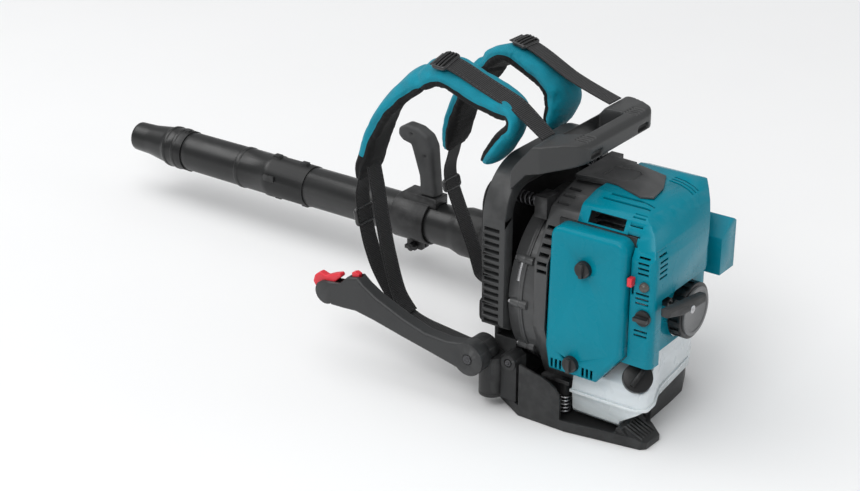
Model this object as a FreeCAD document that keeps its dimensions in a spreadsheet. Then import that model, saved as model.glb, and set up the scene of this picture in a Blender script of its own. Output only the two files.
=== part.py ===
import FreeCAD, Part
import os
import re
import Sketcher
from FreeCAD import Placement, Rotation, Vector

# Backpack leaf blower.  Millimetres.  +Y is the wearer's forward direction and the way the
# tube points, +X is the wearer's right, +Z is up.  The origin is the centre of the
# underside of the base, so the machine stands on the plane Z = 0.

DIMENSIONS = {
    # back frame
    "frame_half": 160, "frame_foot_half": 120, "frame_rear": 87, "frame_front": 130,
    "frame_foot": 40, "frame_waist": 132, "frame_top": 428, "frame_corner": 92,
    "frame_column": 24, "frame_web": 6, "frame_window_low": 118, "frame_window_high": 388,
    "frame_window_corner": 44, "rib_pitch": 12.5, "rib_slot": 6.5, "rib_slot_low": 158,
    "rib_slot_front": 126, "rib_slot_rear": 98, "rib_slot_depth": 9, "rib_count": 14,
    "web_slot_half": 80, "web_slot_gap": 8, "web_slot_height": 14, "web_slot_pitch": 34,
    "web_slot_low": 150, "web_slot_count": 6,
    # carrying handle at the top of the frame
    "handle_rear": -24, "handle_rear_half": 104, "handle_knee": 37, "handle_knee_half": 143,
    "handle_root_half": 149, "handle_top": 480, "handle_bar_low": 449, "handle_bar_front": 5,
    "handle_window_rear_half": 60, "handle_window_front": 60, "handle_window_front_half": 74,
    "shoulder_front": 50, "shoulder_top": 474,
    # base
    "base_half": 152, "base_rear": -122, "base_front": 118, "base_floor": 9, "base_rim": 18,
    "base_wall": 5, "bumper_height": 46, "foot_rear": -168, "foot_height": 26, "foot_tip": 10,
    "foot_ribs": 6,
    # tube
    "tube_side": 210, "tube_height": 107, "pipe_radius": 40, "pipe_wall": 2,
    "nozzle_radius": 30, "nozzle_tip": 1262, "nozzle_neck": 1222, "nozzle_flare": 1160,
    "joint_front": 1112, "joint_rear": 785,
    "collar_radius": 47, "collar_front": 440, "cuff_radius": 51, "spigot_radius": 43,
    "bellows_rear": 146, "bellows_front": 300, "bellows_radius": 50, "bellows_root": 45,
    "bellows_pitch": 14, "bellows_count": 9, "elbow_bend": 60, "elbow_radius": 42,
    # fan and cooling housing
    "crank_height": 200, "scroll_height": 205, "scroll_radius": 150, "scroll_wall": 4,
    "scroll_front": 84, "scroll_seam": 61, "scroll_rear": 36.3, "inlet_radius": 66,
    "outlet_y": 48, "outlet_radius": 34, "outlet_end": 150,
    "impeller_radius": 122, "impeller_rear": 43, "impeller_front": 77, "blade_count": 10,
    "shroud_front": 36, "shroud_rear": -22, "shroud_low": 76, "shroud_top": 390,
    # engine cover
    "cover_left": -137, "cover_right": 132, "cover_rear": -172, "cover_front": -22.4,
    "cover_low": 150, "cover_top": 396, "cover_wall": 3, "flank_high": 330,
    # air cleaner
    "panel_outer": -152, "panel_inner": -122, "panel_front": 8, "panel_rear": -128,
    "panel_low": 105, "panel_high": 358, "panel_wall": 2.5,
    # starter
    "starter_radius": 47, "starter_front": -138, "starter_rear": -172, "disc_radius": 41,
    "recess_left": -110, "recess_right": 112, "recess_top": 262, "recess_face": -151,
    "choke_y": -134.5, "choke_z": 296,
    "cap_radius": 24, "grip_x": -70, "grip_y": -189, "grip_z": 240, "grip_half": 61,
    # control arm
    "arm_outer": -193, "arm_inner": -166, "arm_pivot_y": 134, "arm_pivot_z": 98,
    "arm_end_radius": 29, "post_x": -144, "post_y": 118, "post_radius": 21.5,
    "post_low": 28, "post_high": 94, "head_y": 431, "head_z": 135, "head_radius": 21,
    # straps
    "strap_inner": 81, "strap_outer": 119,
    # play between parts that turn in each other
    "running": 0.05,
}

NORMAL_ROLE = {"XY": "XY_Plane", "XZ": "XZ_Plane", "YZ": "YZ_Plane"}
TURN = {
    "X": Rotation(Vector(0, 1, 0), 90),
    "Y": Rotation(Vector(1, 0, 0), -90),
    "Z": Rotation(),
}
AXIS = {"X": Vector(1, 0, 0), "Y": Vector(0, 1, 0), "Z": Vector(0, 0, 1)}

doc = FreeCAD.newDocument("backpack_blower")
sheet = doc.addObject("Spreadsheet::Sheet", "Dims")
for row, (alias, size) in enumerate(DIMENSIONS.items(), 1):
    sheet.set(f"A{row}", alias)
    sheet.set(f"B{row}", str(size))
    sheet.setAlias(f"B{row}", alias)
doc.recompute()

nodes = {}


# ---------------------------------------------------------------- expressions and helpers

def bound(text):
    """The expression with the sheet's name in front of each of its dimensions."""
    return re.sub(r"[a-z][a-z_]+", lambda word: qualified(word.group()), str(text))


def qualified(word):
    return f"Dims.{word}" if word in DIMENSIONS else word


def value(text):
    """What an expression in the sheet's dimensions comes to, as a plain number."""
    return float(sheet.evalExpression(str(text)))


def bind(item, sizes):
    for name, text in sizes.items():
        item.setExpression(name, bound(text))
    return item


def keep(node, item):
    """Register a finished sub-part under the name of its node."""
    item.Label = node
    nodes[node] = item
    return item


def plain_body(name):
    return doc.addObject("PartDesign::Body", name)


def new_body(node):
    return keep(node, plain_body(node))


def sketch_on(body, plane, offset):
    sketch = body.newObject("Sketcher::SketchObject", "profile")
    role = NORMAL_ROLE[plane]
    origin_plane = next(f for f in body.Origin.OriginFeatures if f.Role == role)
    sketch.AttachmentSupport = [(origin_plane, "")]
    sketch.MapMode = "FlatFace"
    bind(sketch, {"AttachmentOffset.Base.z": offset})
    return sketch


def hold(sketch, geometry, point, corner):
    """Tie one point of the sketch to a pair of expressions."""
    for kind, letter, text, axis in zip(("DistanceX", "DistanceY"), "xy", corner, (-2, -1)):
        size = value(text)
        if abs(size) < 1e-9:
            sketch.addConstraint(Sketcher.Constraint("PointOnObject", geometry, point, axis))
            continue
        number = sketch.addConstraint(
            Sketcher.Constraint(kind, -1, 1, geometry, point, size))
        name = f"{letter}{geometry}_{point}"
        sketch.renameConstraint(number, name)
        bind(sketch, {f"Constraints.{name}": text})


def outline(sketch, corners):
    """A closed outline of straight lines through corners given as pairs of expressions."""
    places = [Vector(value(x), value(y), 0) for x, y in corners]
    first = sketch.GeometryCount
    count = len(places)
    for i, place in enumerate(places):
        sketch.addGeometry(Part.LineSegment(place, places[(i + 1) % count]), False)
    for i in range(count):
        sketch.addConstraint(
            Sketcher.Constraint("Coincident", first + i, 2, first + (i + 1) % count, 1))
    for i, corner in enumerate(corners):
        hold(sketch, first + i, 1, corner)


def ring(sketch, centre, radius):
    place = Vector(value(centre[0]), value(centre[1]), 0)
    number = sketch.addGeometry(Part.Circle(place, AXIS["Z"], value(radius)), False)
    hold(sketch, number, 3, centre)
    size = sketch.addConstraint(Sketcher.Constraint("Radius", number, value(radius)))
    name = f"radius{number}"
    sketch.renameConstraint(size, name)
    bind(sketch, {f"Constraints.{name}": radius})


def draw(sketch, shapes):
    """Outlines are lists of corners; rings are (centre, radius)."""
    for shape in shapes:
        if isinstance(shape, list):
            outline(sketch, shape)
        else:
            ring(sketch, *shape)


def pad(body, plane, low, high, *shapes):
    """Material between two heights along the plane's axis."""
    sketch = sketch_on(body, plane, f"-({high})" if plane == "XZ" else low)
    draw(sketch, shapes)
    feature = body.newObject("PartDesign::Pad", "pad")
    feature.Profile = sketch
    bind(feature, {"Length": f"({high}) - ({low})"})
    doc.recompute()
    return feature


def pocket(body, plane, low, high, *shapes):
    """Material taken away between two heights along the plane's axis."""
    before = body.Shape.Volume
    sketch = sketch_on(body, plane, f"-({low})" if plane == "XZ" else high)
    draw(sketch, shapes)
    feature = body.newObject("PartDesign::Pocket", "pocket")
    feature.Profile = sketch
    bind(feature, {"Length": f"({high}) - ({low})"})
    doc.recompute()
    if body.Shape.Volume >= before:
        raise RuntimeError(f"{body.Label}: a pocket cut nothing")
    return feature


def edges(feature, axis=None, **where):
    """Edges along an axis whose middles lie at given places, such as abs_x or z."""
    found = []
    for number, edge in enumerate(feature.Shape.Edges, 1):
        middle = edge.valueAt((edge.FirstParameter + edge.LastParameter) / 2)
        if axis:
            along = edge.tangentAt(edge.FirstParameter)
            straight = isinstance(edge.Curve, (Part.Line, Part.LineSegment))
            if not straight or abs(along.dot(AXIS[axis])) < 0.999:
                continue
        if all(matches(middle, name, text) for name, text in where.items()):
            found.append(f"Edge{number}")
    return found


def matches(place, name, text):
    actual = getattr(place, name[-1])
    if name.startswith("abs_"):
        actual = abs(actual)
    if name.startswith("over_"):
        return actual > value(text)
    if name.startswith("under_"):
        return actual < value(text)
    return abs(actual - value(text)) < 0.6


def fillet(body, radius, *groups):
    """Round the given edges of the body's last feature."""
    last = body.Tip
    names = sorted({name for group in groups for name in group})
    if not names:
        raise RuntimeError(f"{body.Label}: no edges to round")
    feature = body.newObject("PartDesign::Fillet", "fillet")
    feature.Base = (last, names)
    bind(feature, {"Radius": radius})
    doc.recompute()
    if "Invalid" in feature.State or not feature.Shape.isValid():
        raise RuntimeError(f"{body.Label}: rounding {radius} failed on {names}")
    return feature


def repeat(body, feature, axis, count, pitch):
    """Copies of a feature in a row, at a constant pitch."""
    row = body.newObject("PartDesign::LinearPattern", "row")
    row.Originals = [feature]
    role = f"{axis}_Axis"
    row.Direction = (next(f for f in body.Origin.OriginFeatures if f.Role == role), [""])
    bind(row, {"Length": f"({pitch}) * (({count}) - 1)", "Occurrences": count})
    body.Tip = row
    doc.recompute()
    return row


def turned(body, corners, place):
    """A solid of revolution about the Y direction through place, from (y, radius) corners."""
    sketch = sketch_on(body, "YZ", "0")
    outline(sketch, corners)
    feature = body.newObject("PartDesign::Revolution", "turn")
    feature.Profile = sketch
    feature.ReferenceAxis = (sketch, ["H_Axis"])
    feature.Angle = 360
    doc.recompute()
    bind(body, {"Placement.Base.x": place[0], "Placement.Base.z": place[1]})
    doc.recompute()
    return body


def box(x, y, z, name="block"):
    """A block from three (low, high) pairs of expressions."""
    block = doc.addObject("Part::Box", name)
    return bind(block, {
        "Length": f"({x[1]}) - ({x[0]})", "Width": f"({y[1]}) - ({y[0]})",
        "Height": f"({z[1]}) - ({z[0]})", "Placement.Base.x": x[0],
        "Placement.Base.y": y[0], "Placement.Base.z": z[0]})


def round_bar(axis, centre, radius, low, high, radius_high=None):
    """A cylinder, or a cone where radius_high is given, along one of the axes."""
    kind = "Part::Cylinder" if radius_high is None else "Part::Cone"
    bar = doc.addObject(kind, "bar")
    bar.Placement.Rotation = TURN[axis]
    across = [letter for letter in "XYZ" if letter != axis]
    sizes = {f"Placement.Base.{letter.lower()}": text for letter, text in zip(across, centre)}
    sizes[f"Placement.Base.{axis.lower()}"] = low
    sizes["Height"] = f"({high}) - ({low})"
    if radius_high is None:
        sizes["Radius"] = radius
    else:
        sizes.update({"Radius1": radius, "Radius2": radius_high})
    return bind(bar, sizes)


def fused(items, name="joined"):
    if len(items) == 1:
        return items[0]
    whole = doc.addObject("Part::MultiFuse", name)
    whole.Shapes = list(items)
    return whole


def cut(base, tools, name="trimmed"):
    rest = doc.addObject("Part::Cut", name)
    rest.Base = base
    rest.Tool = fused(tools)
    return rest


def group(items, name="set"):
    """Separate solids of one node, kept apart."""
    whole = doc.addObject("Part::Compound", name)
    whole.Links = items
    return whole


def turned_copy(item, centre, angle, axis="Y"):
    """The item's twin, turned about an axis through a point."""
    twin = doc.addObject("Part::Compound", "twin")
    twin.Links = [item]
    spin = Rotation(AXIS[axis], angle)
    place = Vector(*[value(text) for text in centre])
    twin.Placement = Placement(place - spin.multVec(place), spin)
    return twin


# ---------------------------------------------------------------- frame, handle and base

def back_frame():
    """Upright moulding with two hollow columns, louvred sides and a slotted web."""
    body = new_body("back_frame")
    shape = [
        ("-frame_foot_half", "frame_foot"), ("-frame_foot_half", "frame_waist"),
        ("-frame_half", "frame_waist + 24"), ("-frame_half", "frame_top"),
        ("frame_half", "frame_top"), ("frame_half", "frame_waist + 24"),
        ("frame_foot_half", "frame_waist"), ("frame_foot_half", "frame_foot")]
    block = pad(body, "XZ", "frame_rear", "frame_front", shape)
    fillet(body, "frame_corner", edges(block, "Y", z="frame_top"))
    window = [
        ("-frame_half + frame_column", "frame_window_low"),
        ("-frame_half + frame_column", "frame_window_high"),
        ("frame_half - frame_column", "frame_window_high"),
        ("frame_half - frame_column", "frame_window_low")]
    pocket(body, "XZ", "frame_rear", "frame_front - frame_web", window)
    corners = edges(
        body.Tip, "Y", abs_x="frame_half - frame_column", over_z="frame_window_high - 9")
    fillet(body, "frame_window_corner", corners)
    slot = [
        ("-web_slot_half", "web_slot_low"), ("-web_slot_half", "web_slot_low + web_slot_height"),
        ("-web_slot_gap", "web_slot_low + web_slot_height"), ("-web_slot_gap", "web_slot_low")]
    other = [(x.replace("-", ""), z) for x, z in slot]
    vent = pocket(body, "XZ", "frame_front - frame_web - 1", "frame_front + 1", slot, other)
    repeat(body, vent, "Z", "web_slot_count", "web_slot_pitch")
    louvre = pocket(body, "YZ", "-frame_half - 1", "-frame_half + rib_slot_depth", [
        ("rib_slot_rear", "rib_slot_low"), ("rib_slot_front", "rib_slot_low"),
        ("rib_slot_front", "rib_slot_low + rib_slot"), ("rib_slot_rear", "rib_slot_low + rib_slot")])
    repeat(body, louvre, "Z", "rib_count", "rib_pitch")
    far = pocket(body, "YZ", "frame_half - rib_slot_depth", "frame_half + 1", [
        ("rib_slot_rear", "rib_slot_low"), ("rib_slot_front", "rib_slot_low"),
        ("rib_slot_front", "rib_slot_low + rib_slot"), ("rib_slot_rear", "rib_slot_low + rib_slot")])
    repeat(body, far, "Z", "rib_count", "rib_pitch")


def carry_handle():
    """Loop behind the top of the frame: plan shape and side shape meet in one moulding."""
    plan = plain_body("handle_plan")
    shape = [
        ("-handle_root_half", "frame_rear"), ("-handle_knee_half", "handle_knee"),
        ("-handle_rear_half", "handle_rear"), ("handle_rear_half", "handle_rear"),
        ("handle_knee_half", "handle_knee"), ("handle_root_half", "frame_rear")]
    block = pad(plan, "XY", "frame_window_high - 20", "handle_top + 10", shape)
    fillet(plan, "30", edges(block, "Z", y="handle_rear"))
    window = [
        ("-handle_window_front_half", "handle_window_front"),
        ("-handle_window_rear_half", "handle_bar_front"),
        ("handle_window_rear_half", "handle_bar_front"),
        ("handle_window_front_half", "handle_window_front")]
    pocket(plan, "XY", "frame_window_high - 22", "handle_top + 12", window)
    fillet(plan, "10", edges(plan.Tip, "Z", y="handle_bar_front"))
    side = plain_body("handle_side")
    profile = pad(side, "YZ", "-handle_root_half - 5", "handle_root_half + 5", [
        ("frame_rear", "frame_window_high + 6"), ("frame_rear - 26", "frame_top - 4"),
        ("handle_bar_front - 8", "handle_bar_low - 8"), ("handle_rear - 1", "handle_bar_low"),
        ("handle_rear - 1", "handle_top - 8"), ("handle_rear + 9", "handle_top"),
        ("handle_bar_front + 2", "handle_top"), ("shoulder_front", "shoulder_top"),
        ("frame_rear - 10", "frame_top + 14"), ("frame_rear", "frame_top - 2")])
    fillet(side, "7", edges(profile, "X", y="handle_rear - 1"), edges(profile, "X", z="handle_top"))
    whole = doc.addObject("Part::Common", "handle_form")
    whole.Base = plan
    whole.Tool = side
    tools = []
    for side_sign in (-1, 1):
        for step in range(4):
            place = f"{side_sign} * (88 - {step} * 8)"
            tools.append(box((f"{place} - 2.6", f"{place} + 2.6"),
                             ("handle_rear + 9", "handle_rear + 31"), ("handle_top - 6", "handle_top + 1")))
        low, high = sorted((side_sign * 88, side_sign * 56))
        tools.append(box((str(low), str(high)), ("handle_rear - 2", "handle_rear + 8"),
                         ("handle_bar_low + 3", "handle_bar_low + 13")))
    keep("carry_handle", cut(whole, tools))


def frame_base():
    """Tray with a raised rim, side gussets, a rear bumper and one ribbed foot pedal."""
    body = new_body("frame_base")
    plan = [
        ("-base_half", "60"), ("-base_half", "-30"), ("-130", "foot_rear + 10"),
        ("-122", "foot_rear + 2"), ("-84", "foot_rear"), ("-66", "base_rear - 18"),
        ("-34", "base_rear - 2"), ("40", "base_rear"), ("80", "base_rear + 3"),
        ("134", "base_rear + 26"), ("base_half", "-60"), ("base_half", "60"),
        ("118", "base_front"), ("-118", "base_front")]
    pad(body, "XY", "0", "base_rim", plan)
    inner = [
        ("-base_half + base_wall", "60"), ("-base_half + base_wall", "-28"),
        ("-136", "base_rear + 12"), ("-60", "base_rear + 8"), ("40", "base_rear + 8"),
        ("76", "base_rear + 11"), ("126", "base_rear + 31"), ("base_half - base_wall", "-56"),
        ("base_half - base_wall", "60"), ("114", "base_front - 6"), ("-114", "base_front - 6")]
    pocket(body, "XY", "base_floor", "base_rim + 1", inner)
    pad(body, "YZ", "-base_half", "-base_half + base_wall", [
        ("-20", "base_floor"), ("-19", "52"), ("-16", "63"), ("-9", "72"), ("1", "79"),
        ("14", "84"), ("50", "92"), ("60", "94"), ("60", "base_floor")])
    pad(body, "YZ", "base_half - base_wall", "base_half", [
        ("-20", "base_floor"), ("-17", "52"), ("-8", "58"), ("60", "58"), ("60", "base_floor")])
    pad(body, "XZ", "base_front - 7", "base_front", [
        ("-118", "base_floor"), ("118", "base_floor"), ("118", "frame_foot"), ("-118", "frame_foot")])
    pad(body, "XY", "base_rim - 2", "bumper_height", [
        ("-58", "base_rear - 6"), ("-34", "base_rear - 2"), ("40", "base_rear"),
        ("80", "base_rear + 3"), ("134", "base_rear + 26"), ("130", "base_rear + 31"),
        ("77", "base_rear + 9"), ("40", "base_rear + 6"), ("-34", "base_rear + 4"),
        ("-58", "base_rear")])
    pad(body, "YZ", "-132", "-66", [
        ("base_rear - 14", "base_rim - 2"), ("base_rear + 8", "base_rim - 2"),
        ("base_rear + 8", "foot_height"), ("base_rear - 2", "foot_height")])
    pocket(body, "YZ", "-160", "-60", [
        ("foot_rear - 2", "foot_tip"), ("base_rear - 2", "foot_height"),
        ("base_rear - 2", "foot_height + 20"), ("foot_rear - 2", "foot_height + 20")])
    rib = pad(body, "YZ", "-126", "-122", [
        ("foot_rear + 8", "foot_tip"), ("foot_rear + 10", "foot_tip + 6"),
        ("base_rear - 4", "foot_height + 4"), ("base_rear - 4", "foot_tip")])
    repeat(body, rib, "X", "foot_ribs", "8")


# ---------------------------------------------------------------- air tube

TUBE = ("tube_side", "tube_height")


def bend(radius):
    """Quarter of a ring, from the outlet's direction round to the tube's."""
    quarter = doc.addObject("Part::Torus", "bend")
    quarter.Placement.Rotation = Rotation(AXIS["Z"], -90)
    return bind(quarter, {
        "Radius1": "elbow_bend", "Radius2": radius, "Angle3": "90",
        "Placement.Base.x": "outlet_end", "Placement.Base.y": "outlet_y + elbow_bend",
        "Placement.Base.z": "tube_height"})


def outlet_elbow():
    """Bend that turns the fan's sideways outlet forward into the tube."""
    mouth = ("outlet_y", "tube_height")
    turn = "outlet_y + elbow_bend"
    sleeve = round_bar("X", mouth, "elbow_radius", "outlet_end - 6.5", "outlet_end")
    straight = round_bar("Y", TUBE, "elbow_radius", turn, "bellows_rear + 4")
    seat = round_bar("X", mouth, "outlet_radius + running", "outlet_end - 7", "outlet_end")
    bore = round_bar("Y", TUBE, "elbow_radius - 3", turn, "bellows_rear + 5")
    hollow = fused([seat, bend("elbow_radius - 3"), bore])
    keep("outlet_elbow", cut(fused([sleeve, bend("elbow_radius"), straight]), [hollow]))


def flexible_bellows():
    """Corrugated rubber duct between the elbow and the tube."""
    cuff = "bellows_radius - 1"
    outer = [("outlet_y + elbow_bend + 3", cuff), ("bellows_rear", cuff)]
    for wave in range(DIMENSIONS["bellows_count"]):
        start = f"bellows_rear + 12 + {wave} * bellows_pitch"
        outer += [(start, "bellows_root"), (f"{start} + 4", "bellows_radius"),
                  (f"{start} + 10", "bellows_radius")]
    outer += [("bellows_front - 6", "bellows_root"), ("bellows_front", "bellows_root")]
    inner = [("bellows_front", "bellows_root - 3"), ("bellows_rear + 6", "bellows_root - 3"),
             ("bellows_rear + 6", "elbow_radius + running"),
             ("outlet_y + elbow_bend + 3", "elbow_radius + running")]
    turned(new_body("flexible_bellows"), outer + inner, TUBE)


def duct_collar():
    turned(new_body("duct_collar"), [
        ("bellows_front + 0.3", "spigot_radius + running"), ("bellows_front + 0.3", "cuff_radius"),
        ("bellows_front + 54", "cuff_radius"), ("bellows_front + 60", "cuff_radius - 3"),
        ("bellows_front + 60", "spigot_radius + running")], TUBE)


def swivel_pipe():
    collar = "bellows_front + 60.3"
    turned(new_body("swivel_pipe"), [
        ("bellows_front + 8", "spigot_radius - pipe_wall"), ("bellows_front + 8", "spigot_radius"),
        (collar, "spigot_radius"), (collar, "collar_radius"),
        ("collar_front - 26", "collar_radius"), ("collar_front", "pipe_radius"),
        ("joint_rear", "pipe_radius"), ("joint_rear", "pipe_radius - 1.5"),
        ("joint_rear + 55", "pipe_radius - 1.5"), ("joint_rear + 55", "pipe_radius - 3.5"),
        ("collar_front", "pipe_radius - 3.5"), ("collar_front - 26", "spigot_radius - pipe_wall")],
        TUBE)


def straight_pipe():
    """Middle pipe, with a bayonet socket behind and a spigot in front."""
    pipe = turned(plain_body("pipe_wall"), [
        ("joint_rear + 0.3", "pipe_radius - 1.2"), ("joint_rear + 0.3", "pipe_radius + 1.6"),
        ("joint_rear + 88", "pipe_radius + 1.6"), ("joint_rear + 92", "pipe_radius + 3"),
        ("joint_rear + 104", "pipe_radius + 3"), ("joint_rear + 108", "pipe_radius + 1"),
        ("joint_rear + 168", "pipe_radius + 1"), ("joint_rear + 170", "pipe_radius + 2.4"),
        ("joint_rear + 178", "pipe_radius + 2.4"), ("joint_rear + 180", "pipe_radius + 0.6"),
        ("joint_front", "pipe_radius"), ("joint_front", "pipe_radius - 1.5"),
        ("joint_front + 36", "pipe_radius - 1.5"), ("joint_front + 36", "pipe_radius - 3"),
        ("joint_rear + 60", "pipe_radius - 3"), ("joint_rear + 60", "pipe_radius - 1.2")], TUBE)
    lugs = []
    for side in (-1, 1):
        low, high = sorted((f"tube_height + {side} * (pipe_radius + 1)",
                            f"tube_height + {side} * (pipe_radius + 7)"), key=value)
        for place in ("joint_rear + 14", "joint_rear + 84"):
            lugs.append(box(("tube_side - 6", "tube_side + 6"), (place, f"{place} + 16"), (low, high)))
    wall = box(("tube_side - pipe_radius - 5", "tube_side - pipe_radius - 0.5"),
               ("joint_rear + 70", "joint_rear + 96"), ("tube_height + 6", "tube_height + 18"))
    keep("straight_pipe", fused([pipe] + lugs + [wall]))


def nozzle():
    """Tapered blast nozzle with a ribbed collar."""
    cone = turned(plain_body("cone"), [
        ("joint_front + 0.3", "pipe_radius - 1.2"), ("joint_front + 0.3", "pipe_radius + 2"),
        ("joint_front + 18", "pipe_radius + 2"), ("joint_front + 20", "pipe_radius + 3.4"),
        ("joint_front + 26", "pipe_radius + 3.4"), ("joint_front + 28", "pipe_radius + 1.4"),
        ("nozzle_flare - 6", "pipe_radius + 1.4"), ("nozzle_flare - 4", "pipe_radius + 3"),
        ("nozzle_flare + 2", "pipe_radius + 2.6"), ("nozzle_flare + 6", "pipe_radius - 0.5"),
        ("nozzle_neck", "nozzle_radius + 1.5"), ("nozzle_tip", "nozzle_radius"),
        ("nozzle_tip", "nozzle_radius - 2.2"), ("nozzle_neck", "nozzle_radius - 1"),
        ("nozzle_flare + 6", "pipe_radius - 3"), ("joint_front + 40", "pipe_radius - 3"),
        ("joint_front + 40", "pipe_radius - 1.2")], TUBE)
    lugs = [box(("tube_side - 5", "tube_side + 5"), ("joint_front + 3", "joint_front + 15"),
                ("tube_height + pipe_radius", "tube_height + pipe_radius + 6")),
            box(("tube_side - 5", "tube_side + 5"), ("joint_front + 3", "joint_front + 15"),
                ("tube_height - pipe_radius - 6", "tube_height - pipe_radius"))]
    keep("nozzle", fused([cone] + lugs))


def grip_clamp():
    """Split band round the swivel pipe, with a saddle above and lugs below."""
    band = round_bar("Y", TUBE, "pipe_radius + 5", "490", "568")
    saddle = box(("tube_side - 19", "tube_side + 19"), ("474", "552"),
                 ("tube_height + pipe_radius - 8", "tube_height + pipe_radius + 16"))
    lugs = box(("tube_side - 12", "tube_side + 12"), ("512", "548"),
               ("tube_height - pipe_radius - 21", "tube_height - pipe_radius + 6"))
    bore = round_bar("Y", TUBE, "pipe_radius + running", "460", "580")
    split = box(("tube_side - 1.5", "tube_side + 1.5"), ("489", "569"),
                ("tube_height - pipe_radius - 22", "tube_height - pipe_radius + 8"))
    screw = round_bar("X", ("530", "tube_height - pipe_radius - 14"), "3 + running",
                      "tube_side - 13", "tube_side + 13")
    keep("grip_clamp", cut(fused([band, saddle, lugs]), [bore, split, screw]))


def control_grip():
    """Pistol grip leaning forward, with a hooked head."""
    body = new_body("hand_grip")
    foot = "tube_height + pipe_radius + 16.3"
    block = pad(body, "YZ", "tube_side - 16", "tube_side + 16", [
        ("478", foot), ("516", foot), ("518", "200"), ("531", "240"), ("537", "258"),
        ("556", "262"), ("567", "272"), ("566", "286"), ("548", "297"), ("520", "294"),
        ("497", "282"), ("486", "262"), ("483", "222")])
    fillet(body, "9", edges(block, None, x="tube_side - 16", over_z="170"),
           edges(block, None, x="tube_side + 16", over_z="170"))
    pocket(body, "YZ", "tube_side - 17", "tube_side - 11", (("533", "281"), "3"),
           (("502", "243"), "3"))


def clamp_knob():
    """Winged screw that tightens the grip's clamp."""
    centre = ("530", "tube_height - pipe_radius - 14")
    stem = round_bar("X", centre, "3", "tube_side - 28", "tube_side + 11")
    hub = round_bar("X", centre, "7.5", "tube_side - 26", "tube_side - 12.4")
    wing = box(("tube_side - 27", "tube_side - 19"), ("518", "542"),
               ("tube_height - pipe_radius - 17.5", "tube_height - pipe_radius - 10.5"))
    keep("clamp_knob", fused([stem, hub, wing]))


# ---------------------------------------------------------------- fan and cooling housing

SCROLL = ("0", "scroll_height")
CRANK = ("0", "crank_height")
BULB = ("-155", "290")
OIL = ("-156", "238")
BORE = ("0", "-51")
INTAKE = ("-55", "250")
KNOBS = (("-56", "299"), ("-39", "128"))


def shroud_outline(inset="0"):
    """Cross-section of the cooling housing, seen from behind."""
    return [
        (f"-112 + {inset}", f"shroud_low + {inset}"), (f"-150 + {inset}", f"172 + {inset}"),
        (f"-150 + {inset}", f"286 - {inset}"), (f"-104 + {inset}", f"366 - {inset}"),
        (f"-66 + {inset}", f"shroud_top - 10 - {inset}"), (f"-20 + {inset}", f"shroud_top - {inset}"),
        (f"66 - {inset}", f"shroud_top - {inset}"), (f"112 - {inset}", f"368 - {inset}"),
        (f"150 - {inset}", f"290 - {inset}"), (f"150 - {inset}", f"170 + {inset}"),
        (f"86 - {inset}", f"152 + {inset}"), (f"86 - {inset}", f"shroud_low + {inset}")]


def panel_outline(grow):
    """Side shape of the air-cleaner cover, grown evenly; in the Y-Z plane."""
    return [
        (f"panel_front + 5 + {grow}", "panel_low + 40"), (f"panel_front + {grow}", f"panel_high + {grow}"),
        (f"panel_rear - {grow}", f"panel_high + {grow}"), (f"panel_rear - {grow}", "panel_low + 58"),
        ("-82", f"panel_low - {grow}"), (f"panel_front - 2 + {grow}", f"panel_low - {grow}")]


def seam_bosses(low, high, bore):
    """Round bosses for the screws along the seam of the fan housing."""
    bosses = []
    for angle in (15, 60, 120, 152, 180, 215, 250, 290):
        x = f"(scroll_radius + 1) * cos({angle} deg)"
        z = f"scroll_height + (scroll_radius + 1) * sin({angle} deg)"
        bosses.append(round_bar("Y", (x, z), bore, low, high))
    return bosses


def volute_front():
    """Front half of the fan housing, with the round air inlet."""
    shell = round_bar("Y", SCROLL, "scroll_radius", "scroll_seam + 0.2", "scroll_front")
    rim = round_bar("Y", SCROLL, "scroll_radius + 3", "scroll_seam + 0.2", "scroll_seam + 4")
    hollow = round_bar("Y", SCROLL, "scroll_radius - scroll_wall", "scroll_seam", "scroll_front - 3")
    inlet = round_bar("Y", CRANK, "inlet_radius", "scroll_front - 4", "scroll_front + 1")
    duct = round_bar("X", ("outlet_y", "tube_height"), "outlet_radius + 0.2", "60", "160")
    shell = fused([shell, rim] + seam_bosses("scroll_seam + 0.2", "scroll_seam + 16", "7"))
    screws = seam_bosses("scroll_seam", "scroll_seam + 17", "2.6")
    seats = seam_bosses("scroll_seam + 15.9", "scroll_front + 1", "4.7")
    keep("volute_front", cut(shell, [hollow, inlet, duct] + screws + seats))


def volute_rear():
    """Rear half of the fan housing, with the outlet stub on the right."""
    shell = round_bar("Y", SCROLL, "scroll_radius", "scroll_rear", "scroll_seam")
    rim = round_bar("Y", SCROLL, "scroll_radius + 3", "scroll_seam - 4", "scroll_seam")
    stub = round_bar("X", ("outlet_y", "tube_height"), "outlet_radius", "87", "outlet_end - 1")
    hollow = round_bar("Y", SCROLL, "scroll_radius - scroll_wall", "scroll_rear + 3", "scroll_seam + 1")
    duct = round_bar("X", ("outlet_y", "tube_height"), "outlet_radius - 3", "90", "outlet_end")
    fan = round_bar("Y", SCROLL, "scroll_radius - scroll_wall", "scroll_rear + 3", "scroll_front - 3")
    boss = round_bar("Y", CRANK, "13", "scroll_rear", "scroll_rear + 4")
    shaft = round_bar("Y", CRANK, "10.5", "0", "70")
    shell = fused([shell, rim, stub] + seam_bosses("scroll_seam - 14", "scroll_seam", "7"))
    screws = seam_bosses("scroll_seam - 11", "scroll_seam + 1", "2.6")
    shell = cut(shell, [hollow, duct, fan] + screws)
    keep("volute_rear", cut(fused([shell, boss]), [shaft]))


def volute_screws():
    """Screws that hold the two halves of the fan housing together."""
    shanks = seam_bosses("scroll_seam - 10", "scroll_seam + 17", "2.5")
    heads = seam_bosses("scroll_seam + 16.2", "scroll_seam + 20", "4.3")
    keep("volute_screws", group([fused(pair) for pair in zip(shanks, heads)]))


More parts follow.
